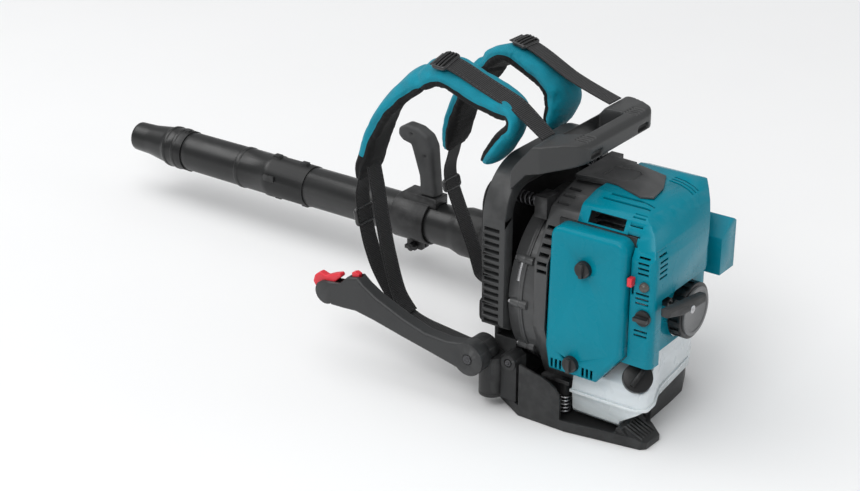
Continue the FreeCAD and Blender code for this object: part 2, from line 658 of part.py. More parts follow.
def intake_guard():
    """Round grille in front of the fan's inlet."""
    plate = round_bar("Y", CRANK, "inlet_radius + 8", "scroll_front + 0.3", "scroll_front + 5")
    slots = []
    for line in range(-4, 5):
        reach = f"sqrt(pow(inlet_radius; 2) - pow({line} * 14; 2)) - 3"
        slots.append(box((f"-({reach})", reach), ("scroll_front", "scroll_front + 6"),
                         (f"crank_height + {line} * 14 - 4.5", f"crank_height + {line} * 14 + 4.5")))
    keep("intake_guard", cut(plate, slots))


def impeller():
    """Radial fan wheel on the crankshaft's front end."""
    disc = round_bar("Y", CRANK, "impeller_radius", "impeller_rear", "impeller_rear + 3")
    hub = round_bar("Y", CRANK, "20", "impeller_rear", "impeller_front - 12")
    blades = []
    for number in range(DIMENSIONS["blade_count"]):
        blade = box(("34", "impeller_radius - 3"), ("impeller_rear + 2", "impeller_front"),
                    ("crank_height + 6", "crank_height + 9"))
        turn = 360 / DIMENSIONS["blade_count"] * number
        blades.append(turned_copy(blade, ("0", "0", "crank_height"), turn))
    bore = round_bar("Y", CRANK, "10", "impeller_rear - 1", "impeller_front")
    keep("impeller", cut(fused([disc, hub] + blades), [bore]))


def fan_shroud():
    """Cooling-air housing between the fan and the engine, with a grille at its top left."""
    body = new_body("fan_shroud")
    block = pad(body, "XZ", "shroud_rear", "shroud_front", shroud_outline())
    fillet(body, "12", edges(block, "Y", over_z="170"))
    pocket(body, "XZ", "shroud_rear - 1", "shroud_front - 4", shroud_outline("4"))
    pocket(body, "YZ", "-156", "-117", panel_outline("2.5"))
    pocket(body, "XZ", "shroud_front - 5", "shroud_front + 1", (CRANK, "70"))
    for step in range(6):
        low = f"268 + {step} * 13"
        pocket(body, "YZ", "-152", "-90", [
            ("14", low), ("32", low), ("32", f"{low} + 6.5"), ("14", f"{low} + 6.5")])
    for step in range(3):
        left = f"-96 + {step} * 17"
        pocket(body, "XY", "300", "shroud_top + 4", [
            (left, "10"), (f"{left} + 7", "10"), (f"{left} + 7", "32"), (left, "32")])


def top_plate():
    """Dark plate along the top, with a rounded recess and a six-sided rear end."""
    body = new_body("top_plate")
    pad(body, "XY", "shroud_top + 0.3", "cover_top + 4", [
        ("-40", "shroud_front - 3"), ("-34", "cover_front"), ("60", "cover_front"),
        ("64", "shroud_front - 3")])
    pad(body, "XY", "cover_top + 0.3", "cover_top + 4", [
        ("-36", "cover_front + 1"), ("-38", "-44"), ("-61", "-98"), ("-50", "-116"), ("-8", "-109"),
        ("38", "-88"), ("56", "cover_front + 1")])
    pocket(body, "XY", "cover_top + 2.4", "cover_top + 5", [
        ("-18", "-4"), ("-18", "-46"), ("-8", "-56"), ("18", "-56"), ("28", "-46"), ("28", "-4")])


# ---------------------------------------------------------------- engine cover and cleaner

def cover_outline(inset="0"):
    """Cross-section of the engine cover, seen from behind."""
    return [
        (f"cover_left + {inset}", "cover_low"), (f"cover_left + {inset}", "flank_high"),
        (f"cover_left + 30 + {inset} * 0.6", f"cover_top - 10 - {inset}"),
        (f"-66 + {inset} * 0.3", f"cover_top - {inset}"), (f"72 - {inset} * 0.3", f"cover_top - {inset}"),
        (f"cover_right - 24 - {inset} * 0.6", f"cover_top - 14 - {inset}"),
        (f"cover_right - {inset}", "flank_high + 6"), (f"cover_right - {inset}", "cover_low")]


REAR_CURVE = ((-118, 2), (-134, 7.5), (-147, 16.5), (-158, 30), (-165, 46))
REAR_CORNER = (
    (132, -90), (127, -103), (108, -120), (84, -139), (60, -157), (46, -166), (30, -172))


def cover_form(name, inset):
    """Solid form of the cover with its rounded rear top, drawn in by the inset all round."""
    falling = [(f"{y} + {inset} * 0.6", f"cover_top - {drop} - {inset} * 0.8")
               for y, drop in REAR_CURVE]
    rounded = [(f"{x} - {inset} * 0.7", f"{y} + {inset} * 0.7") for x, y in REAR_CORNER]
    body = plain_body(f"{name}_section")
    front = "cover_front" if inset == "0" else "cover_front + 1"
    block = pad(body, "XZ", f"cover_rear + {inset}", front, cover_outline(inset))
    fillet(body, f"12 - {inset}", edges(block, "Y", over_z="flank_high - 2"))
    pocket(body, "YZ", "cover_left - 1", "cover_right + 1", [
        ("-96", f"cover_top + 0.8 - {inset}"), *falling,
        (f"cover_rear - 1 + {inset}", "flank_high - 2"), ("cover_rear - 8", "flank_high - 2"),
        ("cover_rear - 8", f"cover_top + 0.8 - {inset}")])
    plan = plain_body(f"{name}_plan")
    block = pad(plan, "XY", "cover_low - 2", "cover_top + 2", [
        (f"cover_left + {inset}", f"cover_rear + {inset}"), (f"cover_left + {inset}", "cover_front + 3"),
        (f"cover_right - {inset}", "cover_front + 3"), *rounded])
    fillet(plan, f"12 - {inset}", edges(block, "Z", x=f"cover_left + {inset}", under_y="-160"))
    form = doc.addObject("Part::MultiCommon", name)
    form.Shapes = [body, plan]
    return form


def cover_slots():
    """Cooling slots in the cover: level rows by the rear left corner, long ones on top."""
    slots = []
    for step in range(7):
        low = f"308 + {step} * 8.6"
        slots.append(box(("cover_left - 1", "cover_left + 7"), ("-161", "-142"), (low, f"{low} + 3.8")))
    for step in range(6):
        low = f"300 + {step} * 9"
        slots.append(box(("-122", "-98"), ("cover_rear - 1", "cover_rear + 6"), (low, f"{low} + 3.8")))
    for low in (203, 211, 258, 266, 274):
        slots.append(box(("cover_left - 1", "cover_left + 7"), ("-163", "-140"), (low, f"{low} + 3.6")))
    for step in range(2):
        left = f"-84 + {step} * 14"
        slots.append(box((left, f"{left} + 5"), ("-128", f"-44 - {step} * 7"),
                         ("cover_top - 20", "cover_top + 2")))
    for step in range(3):
        left = f"28 + {step} * 9"
        slots.append(box((left, f"{left} + 4"), ("-142", "-98"), ("cover_top - 22", "cover_top + 2")))
    for step in range(5):
        left = f"-128 + {step} * 7"
        slots.append(box((left, f"{left} + 3.2"), ("-134", "-112"), ("344", "cover_top - 2")))
    return slots


def engine_cover():
    """Large moulded cover over the engine, recessed round the starter, open below and in front."""
    hollow = cut(cover_form("cover_inside", "cover_wall"), [
        box(("recess_left - cover_wall", "recess_right + cover_wall"),
            ("cover_rear - 2", "recess_face + cover_wall"), ("cover_low - 5", "recess_top + cover_wall"))])
    recess = plain_body("recess")
    pad(recess, "YZ", "cover_left - 20", "-117", panel_outline("2.5"))
    tools = [
        hollow, recess,
        box(("recess_left", "recess_right"), ("cover_rear - 2", "recess_face"),
            ("cover_low - 5", "recess_top")),
        round_bar("Y", CRANK, "starter_radius + 1.5", "recess_face - 1", "recess_face + 8"),
        round_bar("Y", ("grip_x", "grip_z"), "6", "recess_face - 1", "recess_face + 8"),
        box(("85.5", "cover_right + 2"), ("cover_rear - 2", "-100"), ("227.4", "318")),
        box(("cover_left - 2", "cover_left + 34"), ("-104", "-40"), ("362", "380")),
        round_bar("X", BULB, "8.1", "cover_left - 2", "cover_left + 7"),
        round_bar("X", OIL, "9.3", "cover_left - 2", "cover_left + 7"),
        box(("cover_left - 2", "cover_left + 7"), ("choke_y - 2", "choke_y + 2"),
            ("choke_z - 24", "choke_z + 5"))]
    keep("engine_cover", cut(cover_form("cover_outside", "0"), tools + cover_slots()))


def exhaust_guard():
    """Box that stands out at the rear right, over the silencer's outlet."""
    body = new_body("exhaust_guard")
    block = pad(body, "XZ", "-170", "-101", [
        ("86", "228"), ("86", "292"), ("124", "317"), ("134", "310"), ("134", "228")])
    fillet(body, "4", edges(block, "Y", over_z="290"))
    pocket(body, "XZ", "-166", "-100", [
        ("90", "224"), ("90", "289.5"), ("123", "311"), ("130", "307"), ("130", "224")])


def panel_form(name, inset):
    """Solid form of the air-cleaner cover, drawn in by the inset."""
    body = plain_body(name)
    inner = "panel_inner" if inset == "0" else "panel_inner + 1"
    block = pad(body, "YZ", f"panel_outer + {inset}", inner, panel_outline(f"-{inset}"))
    fillet(body, f"20 - {inset}", edges(block, "X", over_z="panel_high - 9"))
    fillet(body, f"9 - {inset}", edges(body.Tip, None, x=f"panel_outer + {inset}"))
    return body


def air_cleaner_cover():
    """Rounded panel on the left, with vents and two knob holes."""
    tools = [panel_form("panel_inside", "panel_wall")]
    for place in KNOBS:
        tools.append(round_bar("X", place, "3 + running", "panel_outer - 1", "panel_inner"))
    for place in (0, -8, -16, -58, -66, -74):
        tools.append(box(("panel_outer - 1", "panel_outer + 12"), (f"{place} - 4.5", str(place)),
                         ("panel_low + 5", "panel_low + 22")))
    keep("air_cleaner_cover", cut(panel_form("panel_outside", "0"), tools))


def cover_knob(node, y, z):
    """Round knob with a finger bar; its stem turns in the cover."""
    stem = round_bar("X", (y, z), "3", "panel_outer - 2", "panel_inner - 2")
    dial = round_bar("X", (y, z), "13", "panel_outer - 8", "panel_outer - 0.3", "14")
    bar = box(("panel_outer - 13", "panel_outer - 6"), (f"{y} - 3", f"{y} + 3"),
              (f"{z} - 12", f"{z} + 12"))
    keep(node, fused([stem, dial, bar]))


def air_cleaner_base():
    """Plate that the filter sits on, with an air horn to the carburettor."""
    body = new_body("air_cleaner_base")
    pad(body, "YZ", "panel_inner + 0.3", "panel_inner + 4", panel_outline("1.5"))
    pad(body, "YZ", "panel_inner + 3.5", "panel_inner + 16", (INTAKE, "17"))
    pocket(body, "YZ", "panel_inner - 1", "panel_inner + 17", (INTAKE, "11"))


def crankcase():
    """Case with the crank chamber, its two bearings and an opening up to the cylinder."""
    case = box(("-50", "50"), ("-84", "-17"), ("154", "260"))
    chamber = round_bar("Y", CRANK, "42", "-73", "-29")
    mouth = box(("-24", "24"), ("-73", "-29"), ("200", "261"))
    seats = round_bar("Y", CRANK, "17", "-90", "0")
    parts = [cut(case, [chamber, mouth, seats])]
    for low, high in (("-84", "-74"), ("-28", "-17")):
        outer = round_bar("Y", CRANK, "17", low, high)
        parts.append(cut(outer, [round_bar("Y", CRANK, "10", f"{low} - 1", f"{high} + 1")]))
    keep("crankcase", group(parts))


def cylinder():
    """Finned cylinder, the piston in its bore, the spark plug and the ignition coil."""
    barrel = round_bar("Z", BORE, "31", "260.3", "352")
    flange = box(("-40", "40"), ("-80", "-22"), ("260.3", "266"))
    fins = []
    for number in range(8):
        low = f"268 + {number} * 11"
        fins.append(box(("-46", "46"), ("-92", "-10"), (low, f"{low} + 3")))
    bore = round_bar("Z", BORE, "23", "260", "345")
    thread = round_bar("Z", BORE, "5.2", "340", "360")
    keep("cylinder", cut(fused([barrel, flange] + fins), [bore, thread]))
    crown = round_bar("Z", BORE, "23 - running", "282", "316")
    keep("piston", cut(crown, [round_bar("Z", BORE, "18", "281", "310")]))
    plug = fused([
        round_bar("Z", BORE, "5", "346", "356"), round_bar("Z", BORE, "9", "352.3", "364"),
        round_bar("Z", BORE, "7", "363", "384")])
    coil_block = box(("-20", "20"), ("-9.5", "6"), ("crank_height + 66.5", "crank_height + 92"))
    keep("ignition", group([plug, coil_block]))


def crankshaft():
    """Crankshaft with two webs and a pin, and the flywheel on it."""
    shaft = round_bar("Y", CRANK, "10 - running", "-128", "-60")
    nose = round_bar("Y", CRANK, "10 - running", "-42", "impeller_front - 8")
    rear_web = round_bar("Y", CRANK, "32", "-64", "-57")
    front_web = round_bar("Y", CRANK, "32", "-45", "-38")
    pin = round_bar("Y", ("0", "crank_height + 20"), "7", "-58", "-44")
    keep("crankshaft", fused([shaft, nose, rear_web, front_web, pin]))
    wheel = round_bar("Y", CRANK, "62", "-10", "8")
    fins = []
    for number in range(12):
        fin = box(("30", "64"), ("7", "22"), ("crank_height - 1.5", "crank_height + 1.5"))
        fins.append(turned_copy(fin, ("0", "0", "crank_height"), 30 * number))
    bore = round_bar("Y", CRANK, "10", "-12", "10")
    keep("flywheel", cut(fused([wheel] + fins), [bore]))


def engine_fittings():
    """Carburettor, silencer and air filter."""
    block = box(("-100", "-70"), ("-76", "-36"), ("232", "272"))
    port = box(("-70", "-46.3"), ("-70", "-40"), ("262", "276"))
    horn = box(("-105.6", "-99"), ("-72", "-40"), ("234", "268"))
    throat = round_bar("X", INTAKE, "11", "-107", "-60")
    keep("carburetor", cut(fused([block, port, horn]), [throat]))
    silencer = box(("48", "112"), ("-90", "-16"), ("262.3", "336"))
    outlet = round_bar("Y", ("104", "290"), "6", "-108", "-88")
    chamber = box(("50", "110"), ("-88", "-18"), ("264.3", "334"))
    pipe = round_bar("Y", ("104", "290"), "4.5", "-109", "-80")
    keep("muffler", cut(fused([silencer, outlet]), [chamber, pipe]))
    keep("air_filter", box(("panel_outer + 6", "panel_inner - 1"), ("-106", "-6"), ("190", "280")))


def starter():
    """Recoil starter: round housing, grey disc, rope reel, rope and T handle."""
    drum = round_bar("Y", CRANK, "starter_radius", "starter_rear", "starter_front")
    hollow = round_bar("Y", CRANK, "starter_radius - 4", "starter_rear + 4", "starter_front + 1")
    post = round_bar("Y", CRANK, "6", "starter_rear + 2", "starter_front - 4")
    notch = box(("starter_radius - 2.5", "starter_radius + 1"), ("starter_rear + 4", "recess_face - 1"),
                ("crank_height - 4", "crank_height + 4"))
    notches = [turned_copy(notch, ("0", "0", "crank_height"), 22.5 * number) for number in range(16)]
    keep("starter_disc", cut(
        round_bar("Y", CRANK, "disc_radius", "starter_rear - 4", "starter_rear - 0.3"),
        [round_bar("Y", CRANK, "disc_radius - 6", "starter_rear - 5", "starter_rear - 3")]))
    reel = round_bar("Y", CRANK, "38", "starter_rear + 7", "starter_front - 8")
    groove = cut(round_bar("Y", CRANK, "40", "starter_rear + 11", "starter_front - 12"),
                 [round_bar("Y", CRANK, "32", "starter_rear + 10", "starter_front - 11")])
    bore = round_bar("Y", CRANK, "6 + running", "starter_rear", "starter_front")
    keep("starter_reel", cut(reel, [groove, bore]))
    place = ("grip_x", "grip_z")
    guide = cut(round_bar("Y", place, "8", "recess_face - 14", "recess_face - 0.3"),
                [round_bar("Y", place, "3", "recess_face - 15", "recess_face + 1")])
    keep("starter_housing", group([fused([cut(drum, [hollow] + notches), post]), guide]))
    body = new_body("starter_handle")
    bar = pad(body, "XZ", "grip_y - 9", "grip_y + 9", [
        ("grip_x - grip_half", "grip_z + 6"), ("grip_x - grip_half", "grip_z + 20"),
        ("grip_x + grip_half", "grip_z + 1"), ("grip_x + grip_half", "grip_z - 15"),
        ("grip_x + 12", "grip_z - 11"), ("grip_x - 12", "grip_z - 9")])
    fillet(body, "6", edges(bar, None, y="grip_y - 9"), edges(bar, None, y="grip_y + 9"))
    pad(body, "XZ", "grip_y + 8", "grip_y + 15", (place, "7"))
    pocket(body, "XZ", "grip_y + 4", "grip_y + 16", (place, "2.2"))
    keep("starter_rope", round_bar("Y", place, "1.8", "grip_y + 5", "recess_face - 14.5"))


def controls_on_cover():
    """Primer bulb, sliding choke lever and the winged oil cap on the cover's left side."""
    dome = doc.addObject("Part::Sphere", "dome")
    bind(dome, {"Radius": "8", "Placement.Base.x": "cover_left - 1",
                "Placement.Base.y": BULB[0], "Placement.Base.z": BULB[1]})
    keep("primer_bulb", fused([dome, round_bar("X", BULB, "8", "cover_left - 1", "cover_left + 7")]))
    cap = round_bar("X", OIL, "9", "cover_left - 2", "cover_left + 14")
    flange = round_bar("X", OIL, "13", "cover_left - 5", "cover_left - 0.3")
    wing = box(("cover_left - 14", "cover_left - 4"), (f"{OIL[0]} - 12", f"{OIL[0]} + 12"),
               (f"{OIL[1]} - 3", f"{OIL[1]} + 3"))
    keep("oil_cap", fused([cap, flange, wing]))
    stem = box(("cover_left - 3", "cover_left + 6"), ("choke_y - 1.8", "choke_y + 1.8"),
               ("choke_z - 3", "choke_z + 3"))
    tab = box(("cover_left - 12", "cover_left - 0.4"), ("choke_y - 4", "choke_y + 4"),
              ("choke_z - 7", "choke_z + 7"))
    keep("choke_lever", fused([stem, tab]))


def fuel_tank():
    """Translucent tank with its seam, tilted filler neck and screw cap."""
    section = plain_body("tank_section")
    pad(section, "XZ", "-160", "-24", [
        ("-122", "66"), ("-117", "98"), ("-96", "122"), ("-74", "149"), ("104", "149"),
        ("134", "142"), ("92", "56"), ("78", "14"), ("-106", "14"), ("-117", "24")])
    fillet(section, "8", edges(section.Tip, "Y"))
    plan = plain_body("tank_plan")
    block = pad(plan, "XY", "10", "152", [
        ("-126", "-24"), ("-124", "-140"), ("-112", "-156"), ("-84", "-154"), ("-60", "-144"),
        ("-30", "-134"), ("96", "-122"), ("140", "-100"), ("140", "-60"), ("100", "-26")])
    fillet(plan, "12", edges(block, "Z", under_y="-90"))
    side = plain_body("tank_side")
    block = pad(side, "YZ", "-130", "142", [
        ("-20", "10"), ("-109", "10"), ("-111", "30"), ("-150", "57"), ("-162", "66"),
        ("-162", "152"), ("-20", "152")])
    fillet(side, "6", edges(block, "X", z="30"))
    solid = doc.addObject("Part::MultiCommon", "tank_form")
    solid.Shapes = [section, plan, side]
    form = cut(solid, [box(("-62", "142"), ("-170", "-105"), ("8", "bumper_height + 1"))])
    seam = plain_body("tank_seam")
    pad(seam, "XY", "60", "65", [
        ("-126", "-22"), ("-126", "-141"), ("-113", "-159"), ("-83", "-157"), ("-58", "-147"),
        ("-28", "-137"), ("84", "-126"), ("99", "-112"), ("99", "-26")])
    fillet(seam, "8", edges(seam.Tip, "Z", under_y="-90"))
    spin = Rotation(AXIS["Z"], Vector(-0.62, -0.5, 0.6))
    foot = Vector(-100, -128, 104)
    neck = doc.addObject("Part::Cylinder", "neck")
    bind(neck, {"Radius": "cap_radius - 5", "Height": "42"})
    neck.Placement = Placement(foot + spin.multVec(Vector(0, 0, -30)), spin)
    clear = doc.addObject("Part::Cylinder", "clear")
    bind(clear, {"Radius": "cap_radius + 1.5", "Height": "40"})
    clear.Placement = Placement(foot + spin.multVec(Vector(0, 0, 11.8)), spin)
    keep("fuel_tank", fused([cut(fused([form, seam]), [clear]), neck]))
    lid = doc.addObject("Part::Cylinder", "lid")
    bind(lid, {"Radius": "cap_radius", "Height": "14"})
    bar = doc.addObject("Part::Box", "bar")
    bind(bar, {"Length": "cap_radius * 1.5", "Width": "7", "Height": "13",
               "Placement.Base.x": "-cap_radius * 0.75", "Placement.Base.y": "-3.5",
               "Placement.Base.z": "12"})
    cap = fused([lid, bar])
    cap.Placement = Placement(foot + spin.multVec(Vector(0, 0, 12.3)), spin)
    keep("fuel_cap", cap)


# ---------------------------------------------------------------- vibration mounts

def coil(axis, centre, low, high, radius, turns):
    """A closed helical spring between two heights along an axis."""
    spiral = doc.addObject("Part::Helix", "spiral")
    bind(spiral, {"Radius": radius, "Height": f"({high}) - ({low})",
                  "Pitch": f"(({high}) - ({low})) / {turns}"})
    section = doc.addObject("Part::Circle", "wire")
    bind(section, {"Radius": "1.8", "Placement.Base.x": radius})
    section.Placement.Rotation = Rotation(AXIS["X"], 90)
    spring = doc.addObject("Part::Sweep", "spring")
    spring.Sections = [section]
    spring.Spine = (spiral, ["Edge1"])
    spring.Solid = True
    spring.Frenet = True
    holder = doc.addObject("Part::Compound", "spring_place")
    holder.Links = [spring]
    turn = {"Z": Rotation(), "Y": Rotation(AXIS["X"], -90)}[axis]
    across = [value(text) for text in centre]
    start = value(low)
    place = Vector(across[0], start, across[1]) if axis == "Y" else Vector(*across, start)
    holder.Placement = Placement(place, turn)
    return holder


def vibration_mounts():
    """Engine plate on two springs over the base, and two springs to the frame above."""
    plate = box(("-125", "125"), ("-20", "33"), ("69", "75.7"))
    boots = []
    coils = []
    for side in ("-110", "110"):
        boots.append(round_bar("Z", (side, "-5"), "12", "46", "70"))
        coils.append(coil("Z", (side, "-5"), "base_floor + 2.1", "43.5", "9", 5))
    blocks = []
    for sign in ("-1", "1"):
        low, high = sorted((f"{sign} * 82", f"{sign} * 118"), key=value)
        blocks.append(box((low, high), ("scroll_rear", "59"), ("346", "382")))
        coils.append(coil("Y", (f"{sign} * 100", "366"), "61.5", "frame_front - frame_web - 2.3", "9", 7))
    keep("engine_mount", group([fused([plate] + boots)] + blocks))
    keep("mount_springs", group(coils))


# ---------------------------------------------------------------- padding and straps

def ribbon_outline(line, above, below):
    """Corners of a strip's side shape that follows (y, z) places, thick to each side."""
    places = [Vector(y, z, 0) for y, z in line]
    ahead = [(far - near).normalize() for near, far in zip(places, places[1:])]
    outer = []
    inner = []
    for number, place in enumerate(places):
        before = ahead[max(number - 1, 0)]
        after = ahead[min(number, len(ahead) - 1)]
        middle = (before + after).normalize()
        side = Vector(-middle.y, middle.x, 0)
        reach = 1 / side.dot(Vector(-after.y, after.x, 0))
        outer.append(place + side * (above * reach))
        inner.append(place - side * (below * reach))
    return [(f"{place.x:.2f}", f"{place.y:.2f}") for place in outer + inner[::-1]]


def ribbon(body, low, high, line, above, below):
    """A strip across X that follows (y, z) places, thick by above and below to each side."""
    return pad(body, "YZ", low, high, ribbon_outline(line, above, below))


def slanted_band(body, low, high, low_line, high_line):
    """A thick band across X whose two side edges follow lines of their own."""
    sections = []
    for place, line in ((low, low_line), (high, high_line)):
        sketch = sketch_on(body, "YZ", place)
        outline(sketch, ribbon_outline(line, 0, PAD_THICKNESS))
        sections.append(sketch)
    band = body.newObject("PartDesign::AdditiveLoft", "band")
    band.Profile = sections[0]
    band.Sections = sections[1:]
    band.Ruled = True
    doc.recompute()


PAD_THICKNESS = 18
LEFT_PAD_OUTER_LINE = [
    (150, 405), (113, 457), (88, 476), (87, 507), (128, 513), (172, 523), (214, 540),
    (246, 550), (300, 522), (350, 482), (384, 438), (406, 388), (424, 322)]
LEFT_PAD_NECK_LINE = [
    (150, 405), (122, 445), (106, 478), (105, 508), (136, 531), (180, 546), (220, 560),
    (252, 568), (302, 544), (352, 506), (388, 460), (410, 398), (424, 326)]
RIGHT_PAD_NECK_LINE = [
    (150, 405), (140, 440), (143, 470), (150, 494), (178, 513), (212, 532), (252, 549),
    (293, 518), (335, 468), (362, 410), (371, 365), (371, 332)]
RIGHT_PAD_OUTER_LINE = [
    (152, 405), (132, 430), (119, 456), (122, 482), (150, 505), (192, 527), (235, 541),
    (280, 510), (325, 456), (356, 400), (366, 362), (376, 326)]
LEFT_STRAP_LINE = [(416.5, 316), (420, 285), (400, 189), (362, 123), (324, 84), (131.5, 62)]
LEFT_TAIL_LINE = [(393, 341), (384, 300), (370, 216), (347, 127), (318, 92)]
RIGHT_STRAP_LINE = [
    (367, 316), (383, 282), (370, 242), (330, 155), (316, 115), (306, 85), (131.5, 62)]
LEFT_LIFTER_LINE = [
    (270, 575), (232, 569), (208, 560), (172, 545), (150, 534.5), (97, 513.5), (48, 477.5)]
RIGHT_LIFTER_LINE = [(244, 555), (204, 546), (160, 524), (118, 500), (46, 478)]


def cushions():
    """Back pad and hip pad on the frame's front."""
    back = new_body("back_pad")
    block = pad(back, "XZ", "frame_front + 0.5", "frame_front + 26", [
        ("-152", "200"), ("-152", "400"), ("152", "400"), ("152", "200")])
    fillet(back, "42", edges(block, "Y"))
    fillet(back, "11", edges(back.Tip, None, y="frame_front + 26"))
    hip = new_body("hip_pad")
    block = pad(hip, "XZ", "frame_front + 0.5", "frame_front + 30", [
        ("-150", "130"), ("-150", "196"), ("150", "196"), ("150", "130")])
    fillet(hip, "24", edges(block, "Y"))
    fillet(hip, "11", edges(hip.Tip, None, y="frame_front + 30"))


def shoulder_pads():
    left = new_body("left_shoulder_pad")
    slanted_band(left, "-130", "-54", LEFT_PAD_OUTER_LINE, LEFT_PAD_NECK_LINE)
    right = new_body("right_shoulder_pad")
    slanted_band(right, "56", "130", RIGHT_PAD_NECK_LINE, RIGHT_PAD_OUTER_LINE)


def webbing():
    front = plain_body("front_strap")
    ribbon(front, "-strap_outer", "-strap_inner", LEFT_STRAP_LINE, 1, 1)
    rear = plain_body("rear_strap")
    ribbon(rear, "-strap_outer", "-strap_inner", LEFT_TAIL_LINE, 1, 1)
    keep("left_webbing", group([front, rear]))
    right = new_body("right_webbing")
    ribbon(right, "strap_inner", "strap_outer", RIGHT_STRAP_LINE, 1, 1)
    near = plain_body("left_lifter")
    ribbon(near, "-strap_outer", "-strap_inner", LEFT_LIFTER_LINE, 1, 1)
    far = plain_body("right_lifter")
    ribbon(far, "strap_inner", "strap_outer", RIGHT_LIFTER_LINE, 1, 1)
    keep("load_lifters", group([near, far]))


def buckle(low, high, line):
    """A flat loop that the webbing passes through."""
    loop = plain_body("loop")
    ribbon(loop, f"{low} - 5", f"{high} + 5", line, 4, 4)
    slot = plain_body("slot")
    longer = [tuple(2 * a - b for a, b in zip(line[0], line[1]))] + line[1:]
    longer[-1] = tuple(2 * b - a for a, b in zip(line[0], line[1]))
    ribbon(slot, f"{low} - 0.5", f"{high} + 0.5", longer, 1.6, 1.6)
    return cut(loop, [slot])


def buckles():
    """The four plastic buckles: two on the load lifters, two on the lower straps."""
    left = ("-strap_outer", "-strap_inner")
    right = ("strap_inner", "strap_outer")
    keep("buckles", group([
        buckle(*left, [(264, 574.05), (238, 569.95)]), buckle(*right, [(236, 553.2), (210, 547.35)]),
        buckle(*left, [(417.5, 273), (411, 240)]), buckle(*right, [(377.5, 265), (370.5, 243.5)])]))


# ---------------------------------------------------------------- control arm

ARM_PIVOT = ("arm_pivot_y", "arm_pivot_z")
POST = ("post_x", "post_y")
LEVER_PIVOT = ("head_y", "head_z - 2")


def arm_bracket():
    """Bracket beside the frame's foot, bolted on, with the upright pin for the arm's post."""
    block = box(("-150", "-120.3"), ("66", "96"), ("22", "100"))
    shelf = box(("-150", "-130"), ("90", "118"), ("22", "post_low - 0.3"))
    disc = round_bar("Z", POST, "post_radius", "22", "post_low - 0.3")
    pin = round_bar("Z", POST, "8", "24", "post_high - 10")
    lug = round_bar("X", ("80", "92"), "14", "-154", "-121")
    seat = round_bar("X", ("80", "92"), "7.5", "-155", "-151")
    bolt = round_bar("X", ("80", "92"), "6", "-154", "-150")
    keep("arm_bracket", fused([cut(fused([block, shelf, disc, lug]), [seat]), pin, bolt]))


def arm_post():
    """Turning post with the hub disc and pivot bolt of the control arm."""
    column = round_bar("Z", POST, "post_radius", "post_low", "post_high")
    hub = round_bar("X", ARM_PIVOT, "26", "arm_inner + 0.3", "-136")
    bolt = round_bar("X", ARM_PIVOT, "5", "arm_outer + 5", "-150")
    head = round_bar("X", ARM_PIVOT, "9", "arm_outer + 0.5", "arm_outer + 6")
    bore = round_bar("Z", POST, "8 + running", "post_low - 1", "post_high - 9")
    keep("arm_post", fused([cut(fused([column, hub]), [bore]), bolt, head]))


def control_arm():
    """Long arm with a forked head, a switch hump and rounded edges."""
    body = new_body("control_arm")
    pad(body, "YZ", "arm_outer", "arm_inner", [
        ("134", "70"), ("150", "74"), ("207", "86"), ("268", "98"), ("329", "111"),
        ("367", "117"), ("392", "115"), ("420", "114"), ("440", "148"), ("430", "156"),
        ("400", "160"), ("385", "175"), ("362", "181"), ("348", "170"), ("322", "155"),
        ("267", "133"), ("222", "120"), ("177", "118"), ("134", "127")])
    fillet(body, "5", edges(body.Tip, None, x="arm_outer"), edges(body.Tip, None, x="arm_inner"))
    pad(body, "YZ", "arm_outer", "arm_inner", (ARM_PIVOT, "arm_end_radius"))
    pad(body, "YZ", "arm_outer", "arm_inner", (("head_y", "head_z"), "head_radius"))
    pocket(body, "YZ", "arm_outer - 1", "arm_outer + 6.5", (ARM_PIVOT, "9.5"))
    pocket(body, "YZ", "arm_outer", "arm_inner + 1", (ARM_PIVOT, "5 + running"))
    pocket(body, "YZ", "arm_outer + 6", "arm_inner - 6", [
        ("419", "119"), ("472", "119"), ("472", "182"), ("398", "182"), ("398", "161"),
        ("408", "150")])
    pad(body, "YZ", "arm_outer + 3", "arm_inner - 3", (LEVER_PIVOT, "3"))
    pocket(body, "YZ", "arm_outer + 8", "arm_inner - 7", [
        ("360", "167"), ("382", "167"), ("382", "190"), ("360", "190")])


def throttle_lever():
    """Red lever: a front lobe and a curved tail over the arm."""
    body = new_body("throttle_lever")
    pad(body, "YZ", "arm_outer + 6.4", "arm_inner - 6.4", (LEVER_PIVOT, "9"))
    pad(body, "YZ", "arm_outer + 6.4", "arm_inner - 6.4", [
        ("424", "139"), ("418", "152"), ("408", "163"), ("400", "170"), ("403", "176"),
        ("420", "170"), ("434", "163"), ("448", "167"), ("459", "158"), ("463", "145"),
        ("456", "136"), ("438", "127"), ("431", "125")])
    pocket(body, "YZ", "arm_outer + 5", "arm_inner - 5", (LEVER_PIVOT, "3 + running"))


def stop_switch():
    body = new_body("stop_switch")
    block = pad(body, "YZ", "arm_outer + 8.4", "arm_inner - 7.4", [
        ("365", "169"), ("377", "169"), ("379", "184"), ("371", "187"), ("363", "184")])
    fillet(body, "1.5", edges(block, "X", over_z="180"))


# ---------------------------------------------------------------- assembly

PARTS = (
    back_frame, carry_handle, frame_base, outlet_elbow, flexible_bellows, duct_collar,
    swivel_pipe, straight_pipe, nozzle, grip_clamp, control_grip, clamp_knob, volute_front,
    volute_rear, volute_screws, intake_guard, impeller, fan_shroud, top_plate, engine_cover,
    exhaust_guard, air_cleaner_cover, air_cleaner_base, crankcase, cylinder, crankshaft,
    engine_fittings, starter, controls_on_cover, fuel_tank, vibration_mounts, cushions,
    shoulder_pads, webbing, buckles, arm_bracket, arm_post, control_arm, throttle_lever,
    stop_switch,
)
for make in PARTS:
    make()
cover_knob("upper_knob", *KNOBS[0])
cover_knob("lower_knob", *KNOBS[1])
doc.recompute()

